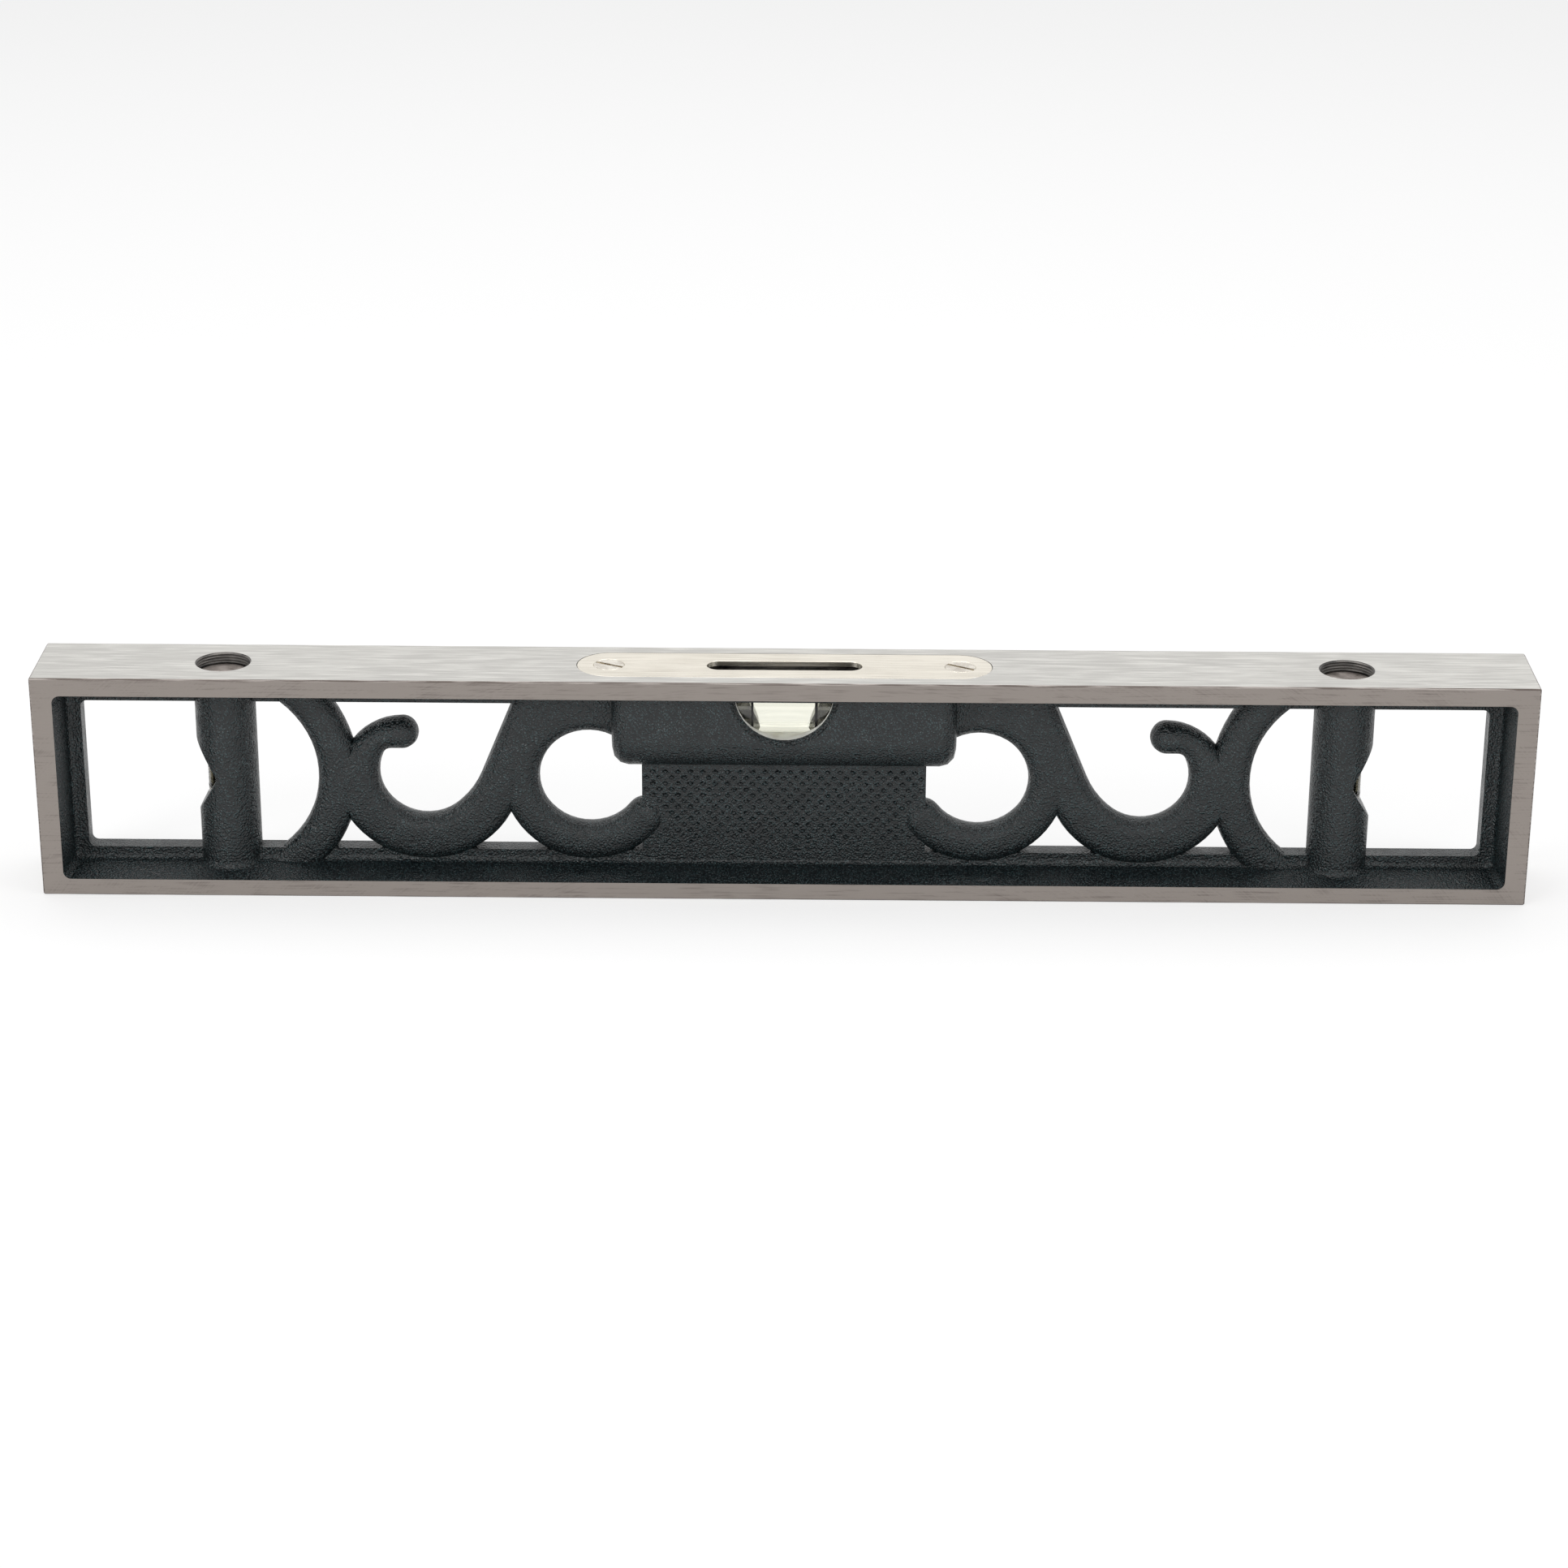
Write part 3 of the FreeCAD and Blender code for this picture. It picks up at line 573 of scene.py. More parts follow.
# ---- modelling moves that the pieces share ----------------------------------
class Bench:
    """The few moves of the mesh tools that every piece is made with."""

    @staticmethod
    def take_up(piece: bpy.types.Object) -> None:
        """Make one piece the only selected and the active object."""
        bpy.ops.object.select_all(action="DESELECT")
        piece.select_set(True)
        bpy.context.view_layer.objects.active = piece

    @staticmethod
    def started(name: str) -> bpy.types.Object:
        """Name the primitive that was just added, and its mesh.

        Args:
            name: the new piece's name.

        Returns:
            The new piece.
        """
        piece = bpy.context.active_object
        piece.name = name
        piece.data.name = name
        return piece

    @staticmethod
    def edit(piece: bpy.types.Object, mode: str = "VERT") -> None:
        """Open a piece in edit mode with nothing selected.

        Args:
            piece: the piece to open.
            mode: what is selected there, VERT, EDGE or FACE.
        """
        Bench.take_up(piece)
        bpy.ops.object.mode_set(mode="EDIT")
        bpy.ops.mesh.select_mode(type=mode)
        bpy.ops.mesh.select_all(action="DESELECT")

    @staticmethod
    def pick(piece: bpy.types.Object, kind: str, test: Callable[[object], bool]) -> None:
        """Select a piece's vertices, edges or faces by a test, from edit mode.

        Args:
            piece: the piece that is open in edit mode.
            kind: vertices, edges or polygons.
            test: true for each element to select.
        """
        bpy.ops.object.mode_set(mode="OBJECT")
        for element in getattr(piece.data, kind):
            if test(element):
                element.select = True
        bpy.ops.object.mode_set(mode="EDIT")

    @staticmethod
    def close(piece: bpy.types.Object, angle: float = 40.0) -> None:
        """Leave edit mode, put the piece's place in its mesh, and shade it round.

        Args:
            piece: the piece to close.
            angle: the bend in degrees that stays a sharp edge.
        """
        if bpy.context.mode != "OBJECT":
            bpy.ops.object.mode_set(mode="OBJECT")
        Bench.take_up(piece)
        bpy.ops.object.transform_apply(location=True, rotation=True, scale=True)
        bpy.ops.object.shade_smooth_by_angle(angle=math.radians(angle))

    @staticmethod
    def modify(piece: bpy.types.Object, kind: str, **settings: object) -> None:
        """Add a modifier to a piece and apply it.

        Args:
            piece: the piece to change.
            kind: the modifier's type.
            settings: the modifier's own properties.
        """
        Bench.take_up(piece)
        bpy.ops.object.modifier_add(type=kind)
        modifier = piece.modifiers[-1]
        for name, value in settings.items():
            setattr(modifier, name, value)
        bpy.ops.object.modifier_apply(modifier=modifier.name)

    @staticmethod
    def coat(piece: bpy.types.Object, material: bpy.types.Material) -> None:
        """Give a new piece its one material."""
        piece.data.materials.clear()
        piece.data.materials.append(material)

    @staticmethod
    def merged_copy(node: bpy.types.Object, name: str) -> bpy.types.Object:
        """Copy a CAD node's mesh and merge its loose triangles.

        Args:
            node: the CAD node.
            name: the new piece's name.

        Returns:
            The new piece, with no material.
        """
        mesh = node.data.copy()
        mesh.name = name
        mesh.materials.clear()
        piece = bpy.data.objects.new(name, mesh)
        bpy.context.scene.collection.objects.link(piece)
        Bench.take_up(piece)
        bpy.ops.object.mode_set(mode="EDIT")
        bpy.ops.mesh.select_all(action="SELECT")
        bpy.ops.mesh.customdata_custom_splitnormals_clear()
        bpy.ops.mesh.remove_doubles(threshold=0.0005 * MM)
        bpy.ops.object.mode_set(mode="OBJECT")
        return piece

    @staticmethod
    def bar(
        name: str, axis: Axis, centre: Vector, radius: float, length: float, rounding: float
    ) -> bpy.types.Object:
        """A round bar with rounded ends.

        Args:
            name: the piece's name.
            axis: the direction that it lies along.
            centre: its middle.
            radius: its radius.
            length: its full length.
            rounding: the radius of its end edges.

        Returns:
            The new piece.
        """
        bpy.ops.object.select_all(action="DESELECT")
        bpy.ops.mesh.primitive_cylinder_add(
            vertices=ROUND_SIDES, radius=radius, depth=length, location=centre, rotation=axis.turn
        )
        piece = Bench.started(name)
        if rounding:
            Bench.edit(piece, "FACE")
            Bench.pick(piece, "polygons", lambda face: abs(face.normal.z) > 0.9)
            bpy.ops.mesh.bevel(offset=rounding, segments=4, affect="EDGES")
        Bench.close(piece)
        return piece

    @staticmethod
    def hollow(piece: bpy.types.Object, core: bpy.types.Object) -> None:
        """Cut one piece with another, which is used up.

        Args:
            piece: the piece to cut.
            core: the piece that it is cut with.
        """
        Bench.modify(piece, "BOOLEAN", operation="DIFFERENCE", object=core, solver="EXACT")
        bpy.data.objects.remove(core)
        Bench.close(piece)

    @staticmethod
    def band(
        name: str, axis: Axis, centre: Vector, radius: float, width: float, thickness: float
    ) -> bpy.types.Object:
        """A thin closed band round a bar.

        Args:
            name: the piece's name.
            axis: the direction of the bar.
            centre: the band's middle.
            radius: the bar's radius.
            width: the band's width along the bar.
            thickness: how far it stands off the bar.

        Returns:
            The new piece.
        """
        bpy.ops.object.select_all(action="DESELECT")
        bpy.ops.mesh.primitive_cylinder_add(
            vertices=ROUND_SIDES, radius=radius, depth=width, end_fill_type="NOTHING",
            location=centre, rotation=axis.turn
        )
        piece = Bench.started(name)
        Bench.modify(piece, "SOLIDIFY", thickness=thickness, offset=1.0)
        Bench.close(piece)
        return piece


def hand_over(piece: bpy.types.Object, slot: str, *nodes: str) -> None:
    """Make a new piece ride on the level and stand for the CAD nodes that it replaces.

    Args:
        piece: the finished piece.
        slot: the record's material slot for it; not used.
        nodes: the CAD nodes that it stands for.
    """
    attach(piece, "root")
    if nodes:
        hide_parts(*nodes)
    LOG.info("%s: %d faces", piece.name, len(piece.data.polygons))


def middle_of(name: str) -> Vector:
    """The middle of a CAD node's box."""
    low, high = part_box(name)
    return (low + high) / 2


def dress(node: bpy.types.Object, material: bpy.types.Material) -> None:
    """Give a CAD node that stays in view its finish.

    Args:
        node: the CAD node.
        material: its finish.
    """
    for slot in node.material_slots:
        slot.material = material
    LOG.info("%s: %s", node.name, material.name)


# ---- the casting ------------------------------------------------------------
@dataclass
class CastFrame:
    """The casting: ground rim, painted web and scrollwork, bored posts and boss."""

    node: bpy.types.Object
    post_x: float
    vial_axis_z: float
    plug_hole: float = 8.6 * MM
    bore_share: float = 0.8
    plug_hole_floor: float = 0.85
    bevel: float = 0.45 * MM
    bevel_share: float = 0.98
    flush: float = 0.01 * MM
    channel_half_width: float = 8.6 * MM
    channel_half_length: float = 34.7 * MM
    bed_drop: float = 5.0 * MM
    channel_floor: float = 0.6
    pocket_half_length: float = 46.1 * MM
    pocket_floor: float = 0.85
    sight_centre_z: float = 65.8 * MM
    sight_radius: float = 15.2 * MM
    boss_half_depth: float = 11.5 * MM
    sight_bevel: float = 1.6 * MM
    plate_floor_z: float = 69.5 * MM
    sharp_angle: float = 42.0

    def build(self) -> bpy.types.Object:
        """Copy the casting, smooth it, and give each of its faces a finish.

        Returns:
            The finished casting.
        """
        low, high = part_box(self.node.name)
        piece = Bench.merged_copy(self.node, "cast_frame")
        for material in self.finishes():
            piece.data.materials.append(material)
        for face in piece.data.polygons:
            face.material_index = self.surface_at(face, low, high).value
        Bench.close(piece, self.sharp_angle)
        Bench.modify(piece, "WEIGHTED_NORMAL", keep_sharp=True, weight=100)
        hand_over(piece, "cast_frame", self.node.name)
        return piece

    @staticmethod
    def finishes() -> list[bpy.types.Material]:
        """The casting's materials, in the order of Surface."""
        return [
            WrinkleEnamel().make(),
            # One ground iron in lit and shaded copies: painted shade on the flanks, painted light on the
            # top.
            GroundIron("ground_flank", (0.300, 0.268, 0.245), (0.175, 0.150, 0.137), arcs=True).make(),
            GroundIron("ground_top", (0.600, 0.590, 0.560), (0.480, 0.470, 0.445), arcs=False).make(),
            # broken edge: a darker copy of the ground iron, painted shade along the bevels.
            GroundIron("broken_edge", (0.330, 0.300, 0.280), (0.120, 0.100, 0.090), arcs=False).make(),
            BoredIron().make(),
            WhiteEnamel().make(),
        ]

    def surface_at(self, face: bpy.types.MeshPolygon, low: Vector, high: Vector) -> Surface:
        """Say which finish a face of the casting carries.

        Args:
            face: the face.
            low: the casting's lowest corner.
            high: its highest corner.

        Returns:
            The finish.
        """
        x, y, z = abs(face.center.x), abs(face.center.y), face.center.z
        gaps = (high.x - x, high.y - y, min(high.z - z, z - low.z))
        touching = [gap < self.bevel_share * self.bevel for gap in gaps]
        # Faces on two outer planes at once are the bevels, which take painted shade.
        if sum(touching) > 1:
            return Surface.BROKEN_EDGE
        # Top faces take the painted-light copy of the ground iron, flanks the painted-shade copy.
        if min(gaps) < self.flush:
            return Surface.GROUND_TOP if gaps[2] < self.flush else Surface.GROUND_FLANK
        from_post = math.hypot(x - self.post_x, y)
        # Faces inside the plug hole take the bored iron, dark as painted shade.
        if from_post < self.plug_hole and z < high.z:
            bored = from_post < self.bore_share * self.plug_hole or z > self.plug_hole_floor * high.z
            return Surface.BORED if bored else Surface.ENAMEL
        return self.boss_surface(face, x, y, z)

    def boss_surface(self, face: bpy.types.MeshPolygon, x: float, y: float, z: float) -> Surface:
        """Say which finish a face in or near the boss carries.

        Args:
            face: the face.
            x: its distance from the level's middle along the level.
            y: its distance from the middle across the level.
            z: its height.

        Returns:
            The finish.
        """
        below_axis = min(0.0, z - self.vial_axis_z)
        in_channel = math.hypot(y, below_axis) < self.channel_half_width
        end_wall_below = face.normal.z <= -0.1 and abs(face.normal.x) >= 0.9
        in_length = x < self.channel_half_length and z > self.channel_floor * self.vial_axis_z
        # Channel walls take the bored iron, dark as painted shade; the channel floor takes the white bed.
        if in_channel and in_length and not end_wall_below:
            return Surface.VIAL_BED if below_axis < -self.bed_drop else Surface.BORED
        if in_channel and x < self.pocket_half_length and z > self.pocket_floor * self.vial_axis_z:
            return Surface.BORED
        sight_gap = abs(math.hypot(x, z - self.sight_centre_z) - self.sight_radius)
        in_sight = sight_gap < 0.3 * MM and y < self.boss_half_depth - self.sight_bevel
        if in_sight and abs(face.normal.y) < 0.3:
            return Surface.VIAL_BED
        in_plate_pocket = z > self.plate_floor_z and y < self.boss_half_depth
        return Surface.BORED if in_plate_pocket else Surface.ENAMEL


@dataclass
class GripCheckering:
    """The raised diamond knobs on both faces of the grip."""

    enamel: bpy.types.Material
    face_y: float = 3.2 * MM
    pitch: float = 3.85 * MM
    row: float = 1.95 * MM
    half_width: float = 1.2 * MM
    half_height: float = 0.9 * MM
    stand: float = 0.75 * MM
    sunk: float = 0.1 * MM
    point: float = 0.42
    edge_break: float = 0.16 * MM
    sharp_angle: float = 75.0
    floor_z: float = 12.0 * MM
    ceiling_z: float = 38.9 * MM
    half_span: float = 42.4 * MM
    ring_x: float = 60.0 * MM
    ring_z: float = 34.8 * MM
    ring_outer: float = 28.6 * MM
    ring_opens: tuple[float, float] = (-38.0, 40.0)
    tip: tuple[float, float, float] = (43.1 * MM, 21.6 * MM, 7.2 * MM)

    def knob(self) -> bpy.types.Object:
        """Model one knob: a low four-sided pyramid with its edges broken.

        Returns:
            The knob, at the origin.
        """
        bpy.ops.object.select_all(action="DESELECT")
        bpy.ops.mesh.primitive_cone_add(
            vertices=4, radius1=1.0, radius2=self.point, depth=1.0, rotation=(math.radians(90), 0.0, 0.0)
        )
        knob = Bench.started("grip_knob")
        knob.scale = (self.half_width, self.half_height, self.stand)
        bpy.ops.object.transform_apply(location=True, rotation=True, scale=True)
        Bench.edit(knob, "EDGE")
        bpy.ops.mesh.select_all(action="SELECT")
        bpy.ops.mesh.bevel(offset=self.edge_break, segments=1, affect="EDGES")
        Bench.close(knob, self.sharp_angle)
        return knob

    def places(self) -> list[tuple[float, float, float]]:
        """Where the knobs stand.

        Returns:
            Each knob's x, z and size, which falls off towards the base flange.
        """
        found = []
        rows = int((self.ceiling_z - self.floor_z) / self.row) + 1
        columns = int(self.half_span / self.pitch) + 1
        for number in range(rows):
            z = self.floor_z + number * self.row
            shift = 0.5 * self.pitch if number % 2 else 0.0
            for column in range(-columns, columns + 1):
                x = column * self.pitch + shift
                if self.is_clear(x, z):
                    found.append((x, z, min(1.0, 0.6 + 0.2 * number)))
        return found

    def is_clear(self, x: float, z: float) -> bool:
        """Say whether a knob has room between the ring scrolls and their tips.

        Args:
            x: the knob's place along the level.
            z: its height.

        Returns:
            True where it has room.
        """
        if abs(x) > self.half_span:
            return False
        across, up = self.ring_x - abs(x), z - self.ring_z
        angle = math.degrees(math.atan2(up, across))
        if not self.ring_opens[0] < angle < self.ring_opens[1] and math.hypot(across, up) < self.ring_outer:
            return False
        tip_x, tip_z, tip_radius = self.tip
        return math.hypot(abs(x) - tip_x, z - tip_z) > tip_radius

    def build(self) -> None:
        """Cover the front face with knobs, then turn a copy of them to the back."""
        knob = self.knob()
        copies = []
        for x, z, size in self.places():
            copy = bpy.data.objects.new("grip_knob_copy", knob.data.copy())
            bpy.context.scene.collection.objects.link(copy)
            copy.location = (x, self.sunk - self.face_y - 0.5 * self.stand * size, z)
            copy.scale = (size, size, size)
            copies.append(copy)
        bpy.data.objects.remove(knob)
        bpy.ops.object.select_all(action="DESELECT")
        for copy in copies:
            copy.select_set(True)
        bpy.context.view_layer.objects.active = copies[0]
        bpy.ops.object.join()
        front = Bench.started("grip_knobs_front")
        Bench.coat(front, self.enamel)
        Bench.close(front, self.sharp_angle)
        back = bpy.data.objects.new("grip_knobs_back", front.data.copy())
        bpy.context.scene.collection.objects.link(back)
        back.rotation_euler = (0.0, 0.0, math.pi)
        Bench.close(back, self.sharp_angle)
        for piece in (front, back):
            hand_over(piece, "cast_frame")


@dataclass
class PlugHoleThread:
    """The tapped thread that shows above a plumb plug."""

    side: Side
    metal: bpy.types.Material
    root_radius: float = 8.52 * MM
    crest_radius: float = 8.12 * MM
    crests: int = 4
    below_top: float = 0.05 * MM
    above_plug: float = 0.02 * MM
    thickness: float = 0.02 * MM

    def build(self) -> None:
        """Fold a sleeve into V-shaped rings between the plug and the top face."""
        plug_low, plug_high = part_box("plumb_plug_" + self.side.word)
        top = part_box("frame_casting")[1].z - self.below_top
        height = top - plug_high.z - self.above_plug
        centre = (0.5 * (plug_low.x + plug_high.x), 0.0, top - 0.5 * height)
        bpy.ops.object.select_all(action="DESELECT")
        bpy.ops.mesh.primitive_cylinder_add(
            vertices=ROUND_SIDES, radius=self.root_radius, depth=height, end_fill_type="NOTHING"
        )
        sleeve = Bench.started("plug_hole_thread_" + self.side.word)
        Bench.edit(sleeve, "EDGE")
        points = sleeve.data.vertices

        def stands(edge: bpy.types.MeshEdge) -> bool:
            """True for an edge that runs from end to end of the sleeve."""
            first, second = (points[number].co.z for number in edge.vertices)
            return abs(first - second) > 0.5 * height

        Bench.pick(sleeve, "edges", stands)
        bpy.ops.mesh.subdivide(number_cuts=2 * self.crests - 1)
        step = height / (2 * self.crests)
        factor = self.crest_radius / self.root_radius
        for number in range(self.crests):
            level = -0.5 * height + (2 * number + 1) * step
            bpy.ops.mesh.select_mode(type="VERT")
            bpy.ops.mesh.select_all(action="DESELECT")
            Bench.pick(sleeve, "vertices", lambda point: abs(point.co.z - level) < 0.25 * step)
            bpy.ops.transform.resize(value=(factor, factor, 1.0), center_override=(0.0, 0.0, level))
        bpy.ops.object.mode_set(mode="OBJECT")
        sleeve.location = centre
        Bench.close(sleeve, 20.0)
        Bench.modify(sleeve, "SOLIDIFY", thickness=self.thickness, offset=1.0)
        # The thread takes the bored iron's painted shade.
        Bench.coat(sleeve, self.metal)
        hand_over(sleeve, "cast_frame")


# ---- the vials --------------------------------------------------------------
@dataclass(kw_only=True)
class Vial:
    """What both kinds of vial share: a closed glass tube with black lines round it."""

    node: str
    axis: Axis
    glass: bpy.types.Material
    spirit: bpy.types.Material
    ink: bpy.types.Material
    wall: float
    end_wall: float
    seat: float = 0.03 * MM
    end_rounding: float = 0.8 * MM
    line_width: float = 0.7 * MM
    line_stand: float = 0.03 * MM

    def __post_init__(self) -> None:
        """Take the tube's place and size from the CAD's own vial."""
        low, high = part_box(self.node)
        self.centre = (low + high) / 2
        self.radius = 0.5 * (high.y - low.y)
        self.bore = self.radius - self.wall
        self.length = max(high.x - low.x, high.z - low.z)

    def tube(self, name: str) -> None:
        """Make the glass and hollow it.

        Args:
            name: the piece's name.
        """
        tube = Bench.bar(name, self.axis, self.centre, self.radius, self.length, self.end_rounding)
        inside = self.length - 2 * self.end_wall
        Bench.hollow(tube, Bench.bar("vial_core", self.axis, self.centre, self.bore, inside, 0.0))
        Bench.coat(tube, self.glass)
        hand_over(tube, "vial_glass", self.node)

    def reading_line(self, name: str, shift: Place) -> None:
        """Lay a black line round the glass.

        Args:
            name: the piece's name.
            shift: its place from the tube's middle.
        """
        place = self.centre + Vector(shift)
        line = Bench.band(name, self.axis, place, self.radius, self.line_width, self.line_stand)
        Bench.coat(line, self.ink)
        hand_over(line, "vial_glass")


@dataclass(kw_only=True)
class MainVial(Vial):
    """The main vial: its glass, the spirit with its bubble, and two reading lines."""

    node: str = "main_vial_glass"
    axis: Axis = Axis.ALONG
    wall: float = 1.4 * MM
    end_wall: float = 2.0 * MM
    line_x: float = 9.75 * MM
    bubble: Place = (9.4 * MM, 5.0 * MM, 3.4 * MM)

    def build(self) -> None:
        """Make the pieces round the axis of the CAD's own vial."""
        self.tube("main_vial_tube")
        inside = self.length - 2 * self.end_wall + 2 * self.seat
        liquid = Bench.bar("main_vial_liquid", self.axis, self.centre, self.bore + self.seat, inside, 0.0)
        bpy.ops.object.select_all(action="DESELECT")
        above = self.centre + Vector((0.0, 0.0, self.bore))
        bpy.ops.mesh.primitive_uv_sphere_add(segments=64, ring_count=32, radius=1.0, location=above)
        air = Bench.started("bubble_air")
        air.scale = self.bubble
        Bench.close(air)
        Bench.hollow(liquid, air)
        Bench.coat(liquid, self.spirit)
        hand_over(liquid, "vial_spirit", "main_vial_spirit")
        for side in Side:
            self.reading_line("main_reading_line_" + side.word, (side.value * self.line_x, 0.0, 0.0))


@dataclass(kw_only=True)
class PlumbVial(Vial):
    """A plumb vial in its post: glass, spirit and two reading lines."""

    side: Side = Side.LEFT
    axis: Axis = Axis.UPRIGHT
    wall: float = 1.3 * MM
    end_wall: float = 1.8 * MM
    line_rise: float = 4.2 * MM

    def build(self) -> None:
        """Make the pieces round the axis of the CAD's own vial."""
        word = self.side.word
        self.tube("plumb_tube_" + word)
        low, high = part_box("plumb_vial_spirit_" + word)
        depth = high.z - low.z
        middle = (low + high) / 2
        liquid = Bench.bar("plumb_liquid_" + word, self.axis, middle, self.bore + self.seat, depth, 0.0)
        Bench.coat(liquid, self.spirit)
        hand_over(liquid, "vial_spirit", "plumb_vial_spirit_" + word)
        for number, rise in enumerate((-self.line_rise, self.line_rise)):
            self.reading_line(f"plumb_reading_line_{word}_{number + 1}", (0.0, 0.0, rise))


# ---- the pieces that the CAD already shapes ---------------------------------
@dataclass
class Fittings:
    """The plate, screws, plugs, caps, spring and pads, which keep their CAD shape."""

    nodes: dict[str, bpy.types.Object]
    plug_x: float

    def dress_all(self) -> None:
        """Give each CAD piece its finish."""
        nickel = NickelPlating().make()
        steel = TurnedMetal("turned_plug", (0.70, 0.64, 0.60), (0.42, 0.37, 0.34), self.plug_x).make()
        brass = PlainMetal("vial_cap_brass", (0.74, 0.53, 0.24), (0.40, 0.25, 0.09)).make()
        screw_brass = PlainMetal("screw_brass", (0.80, 0.60, 0.30), (0.48, 0.32, 0.13), (0.2, 0.36)).make()
        spring = PlainMetal("spring_steel", (0.36, 0.37, 0.40), (0.14, 0.15, 0.20), (0.2, 0.34)).make()
        head = PlainMetal("nickel_screw", (0.78, 0.74, 0.66), (0.55, 0.50, 0.43), (0.2, 0.34)).make()
        felt = SoftPad().make()
        dress(self.nodes["top_plate"], nickel)
        dress(self.nodes["main_vial_adjusting_spring"], spring)
        for screw in ("main_vial_fixing_screw", "main_vial_adjusting_screw"):
            dress(self.nodes[screw], screw_brass)
        for side in Side:
            dress(self.nodes["top_plate_screw_" + side.word], head)
            dress(self.nodes["main_vial_cap_" + side.word], brass)
            dress(self.nodes["plumb_plug_" + side.word], steel)
            for pad in ("plumb_vial_lower_pad_", "plumb_vial_upper_pad_"):
                dress(self.nodes[pad + side.word], felt)


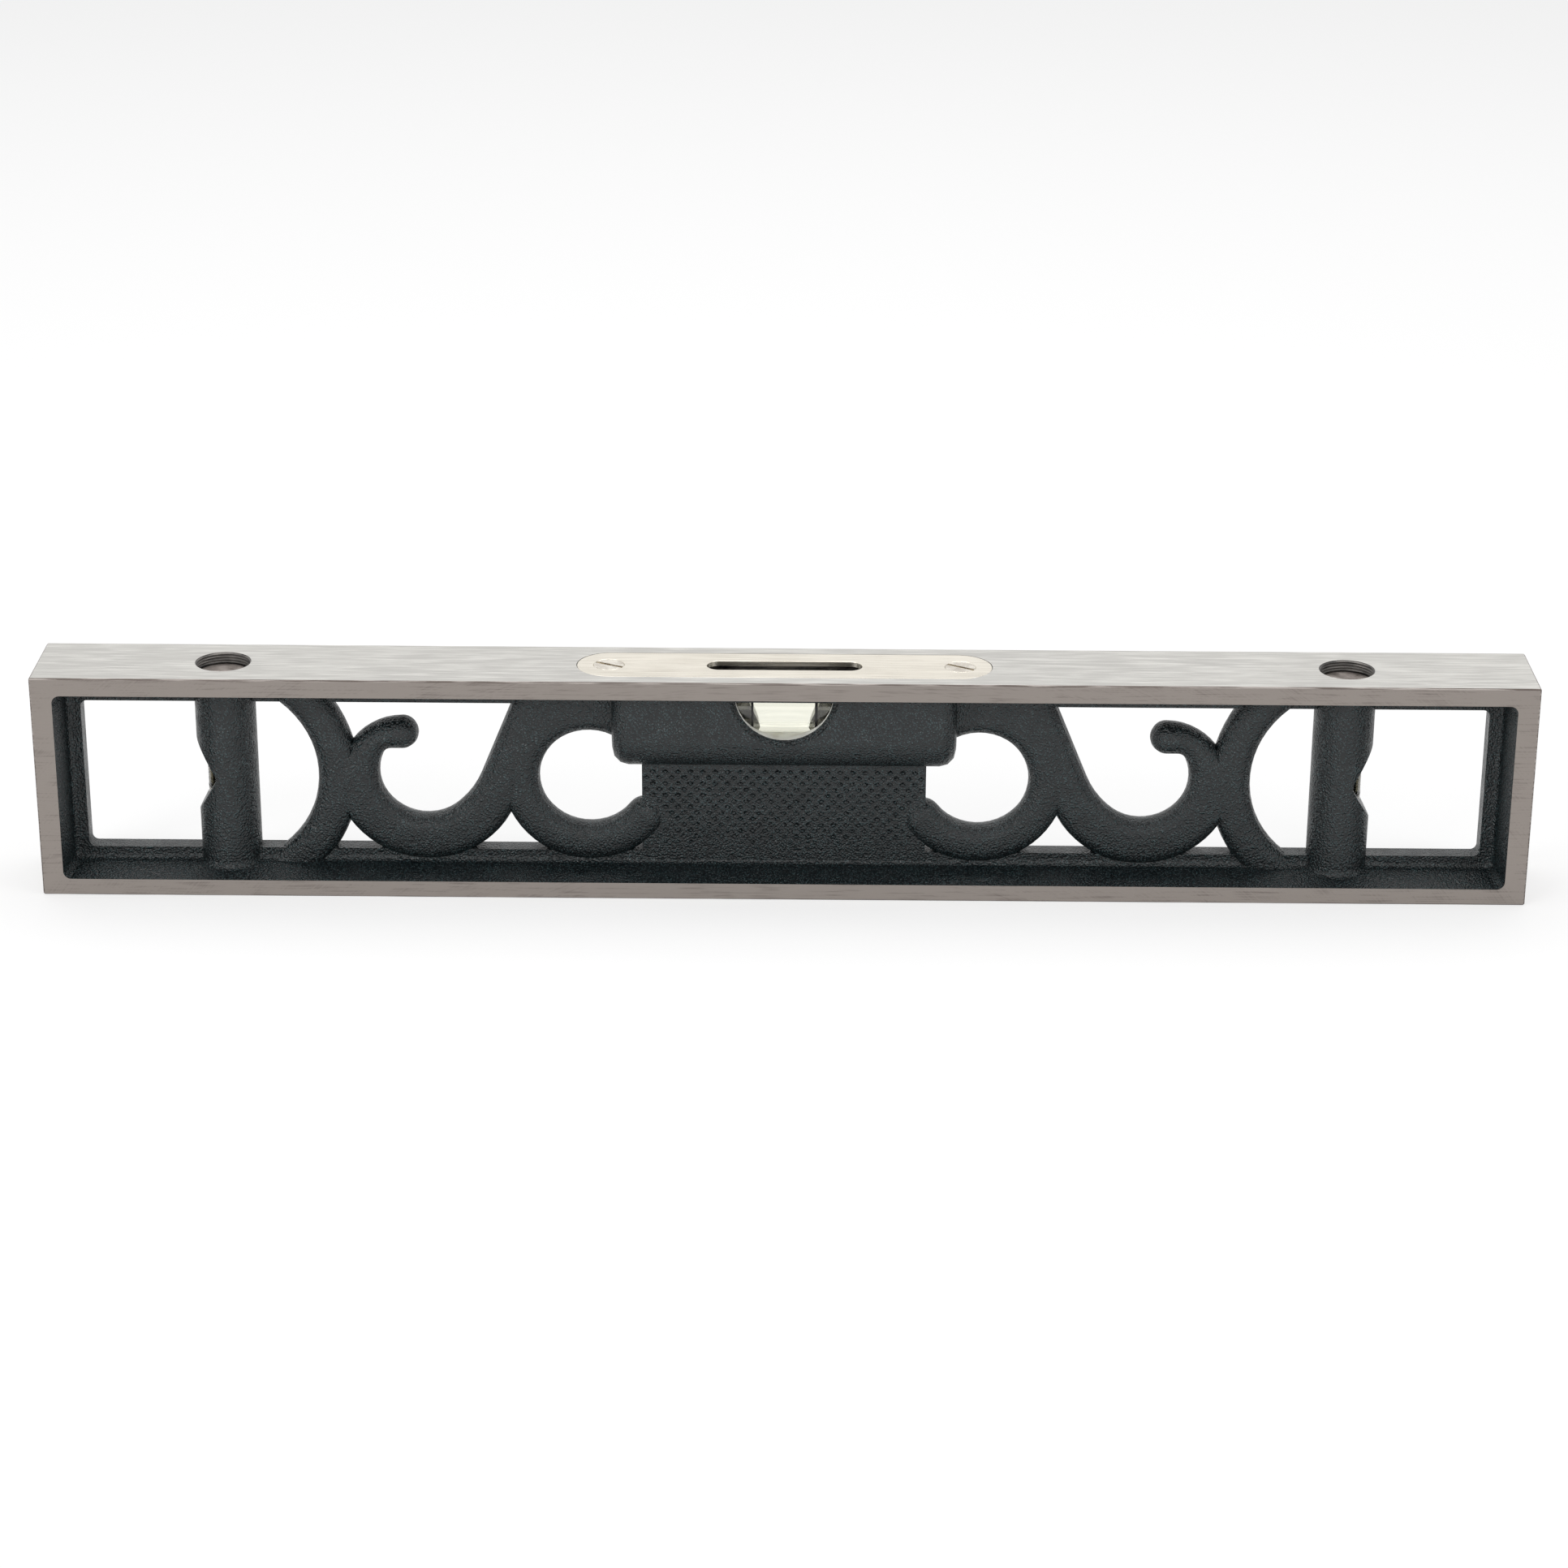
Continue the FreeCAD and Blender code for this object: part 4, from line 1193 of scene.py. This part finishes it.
# ---- the studio -------------------------------------------------------------
@dataclass
class Studio:
    """A pale floor, soft lamps, a white background and the camera."""

    elevation: float = math.radians(22.0)
    distance: float = 1.21
    lens: float = 89.8
    stand_x: float = 0.008
    roll: float = math.radians(0.27)
    aim: tuple[float, float, float] = (0.0, 0.0, 0.0322)
    floor_size: float = 14.0
    floor_glow: float = 0.6
    ambient: float = 0.5

    def build(self) -> None:
        """Set up the floor, world, lamps and camera."""
        self.floor()
        self.world()
        self.lamp("overhead_softbox", (0.0, 0.25, 1.5), (0.0, 0.0, 0.0), (1.8, 1.4), 17.0)
        self.lamp("left_softbox", (-1.2, -1.3, 1.0), (0.0, 0.0, 0.03), (0.9, 0.9), 9.0)
        self.lamp("right_softbox", (1.5, -0.9, 0.9), (0.0, 0.0, 0.03), (0.6, 0.9), 4.0)
        self.camera()
        bpy.context.scene.view_settings.view_transform = "Standard"

    @staticmethod
    def seen_directly(tree: bpy.types.NodeTree) -> Socket:
        """Where the background is seen by the camera, in metal or through glass.

        Args:
            tree: the node tree to write in.

        Returns:
            A value of 1 for those rays and 0 for the rest.
        """
        path = tree.nodes.new("ShaderNodeLightPath")
        total = path.outputs["Is Camera Ray"]
        for name in ("Is Glossy Ray", "Is Transmission Ray"):
            node = tree.nodes.new("ShaderNodeMath")
            node.operation = "MAXIMUM"
            tree.links.new(total, node.inputs[0])
            tree.links.new(path.outputs[name], node.inputs[1])
            total = node.outputs["Value"]
        return total

    def floor(self) -> None:
        """Lay a matt white floor that keeps the level's shadow."""
        bpy.ops.object.select_all(action="DESELECT")
        bpy.ops.mesh.primitive_plane_add(size=self.floor_size)
        sheet = Bench.started("studio_floor")
        material = bpy.data.materials.new("floor_paper")
        material.use_nodes = True
        tree = material.node_tree
        tree.nodes.clear()
        paper = tree.nodes.new("ShaderNodeBsdfDiffuse")
        paper.inputs["Color"].default_value = (0.93, 0.93, 0.93, 1.0)
        glow = tree.nodes.new("ShaderNodeEmission")
        share = tree.nodes.new("ShaderNodeMath")
        share.operation = "MULTIPLY"
        share.inputs[1].default_value = self.floor_glow
        tree.links.new(self.seen_directly(tree), share.inputs[0])
        mix = tree.nodes.new("ShaderNodeMixShader")
        output = tree.nodes.new("ShaderNodeOutputMaterial")
        tree.links.new(share.outputs["Value"], mix.inputs["Fac"])
        tree.links.new(paper.outputs["BSDF"], mix.inputs[1])
        tree.links.new(glow.outputs["Emission"], mix.inputs[2])
        tree.links.new(mix.outputs["Shader"], output.inputs["Surface"])
        sheet.data.materials.append(material)

    def world(self) -> None:
        """Light the level evenly, and show white behind it."""
        world = bpy.data.worlds.new("studio_world")
        world.use_nodes = True
        tree = world.node_tree
        background = tree.nodes["Background"]
        background.inputs["Color"].default_value = (1.0, 1.0, 1.0, 1.0)
        strength = tree.nodes.new("ShaderNodeMapRange")
        strength.inputs["To Min"].default_value = self.ambient
        strength.inputs["To Max"].default_value = 1.0
        tree.links.new(self.seen_directly(tree), strength.inputs["Value"])
        tree.links.new(strength.outputs["Result"], background.inputs["Strength"])
        bpy.context.scene.world = world

    @staticmethod
    def lamp(
        name: str, place: tuple[float, float, float], target: tuple[float, float, float],
        size: tuple[float, float], power: float
    ) -> None:
        """Hang a rectangular soft lamp.

        Args:
            name: the lamp's name.
            place: where it hangs.
            target: what it faces.
            size: its width and height.
            power: its power in watts.
        """
        light = bpy.data.lights.new(name, "AREA")
        light.shape = "RECTANGLE"
        light.size, light.size_y = size
        light.energy = power
        lamp = bpy.data.objects.new(name, light)
        bpy.context.scene.collection.objects.link(lamp)
        lamp.location = place
        lamp.rotation_euler = (Vector(target) - Vector(place)).to_track_quat("-Z", "Y").to_euler()

    def camera(self) -> None:
        """Stand the camera in front of and above the level, a little to its right."""
        data = bpy.data.cameras.new("studio_camera")
        data.lens = self.lens
        camera = bpy.data.objects.new("studio_camera", data)
        bpy.context.scene.collection.objects.link(camera)
        aim = Vector(self.aim)
        reach = self.distance * math.cos(self.elevation)
        camera.location = (self.stand_x, aim.y - reach, aim.z + self.distance * math.sin(self.elevation))
        look = (aim - camera.location).to_track_quat("-Z", "Y").to_matrix().to_4x4()
        roll = look.Rotation(self.roll, 4, "Z")
        camera.rotation_euler = (look @ roll).to_euler()
        bpy.context.scene.camera = camera


def main() -> None:
    """Build the level's looks piece by piece."""
    logging.basicConfig(level=logging.INFO, format="%(message)s")
    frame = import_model()
    bpy.ops.object.select_all(action="DESELECT")
    nodes = frame["nodes"]

    vial_axis_z = middle_of("main_vial_glass").z
    post_x = middle_of("plumb_plug_right").x
    casting = CastFrame(nodes["frame_casting"], post_x, vial_axis_z).build()
    enamel = casting.data.materials[Surface.ENAMEL.value]
    # bored: the bored iron, dark as painted shade.
    bored = casting.data.materials[Surface.BORED.value]
    GripCheckering(enamel).build()
    for side in Side:
        PlugHoleThread(side, bored).build()

    glass = ClearBody("vial_glass", (0.97, 0.98, 0.97), 1.47).make()
    yellow_spirit = ClearBody("vial_spirit", (0.93, 0.80, 0.40), 1.36).make()
    pale_spirit = ClearBody("pale_vial_spirit", (0.985, 0.965, 0.86), 1.36).make()
    ink = ReadingInk().make()
    MainVial(glass=glass, spirit=pale_spirit, ink=ink).build()
    for side in Side:
        node = "plumb_vial_glass_" + side.word
        PlumbVial(node=node, side=side, glass=glass, spirit=yellow_spirit, ink=ink).build()
    Fittings(nodes, post_x).dress_all()
    Studio().build()


if __name__ == "__main__":
    main()
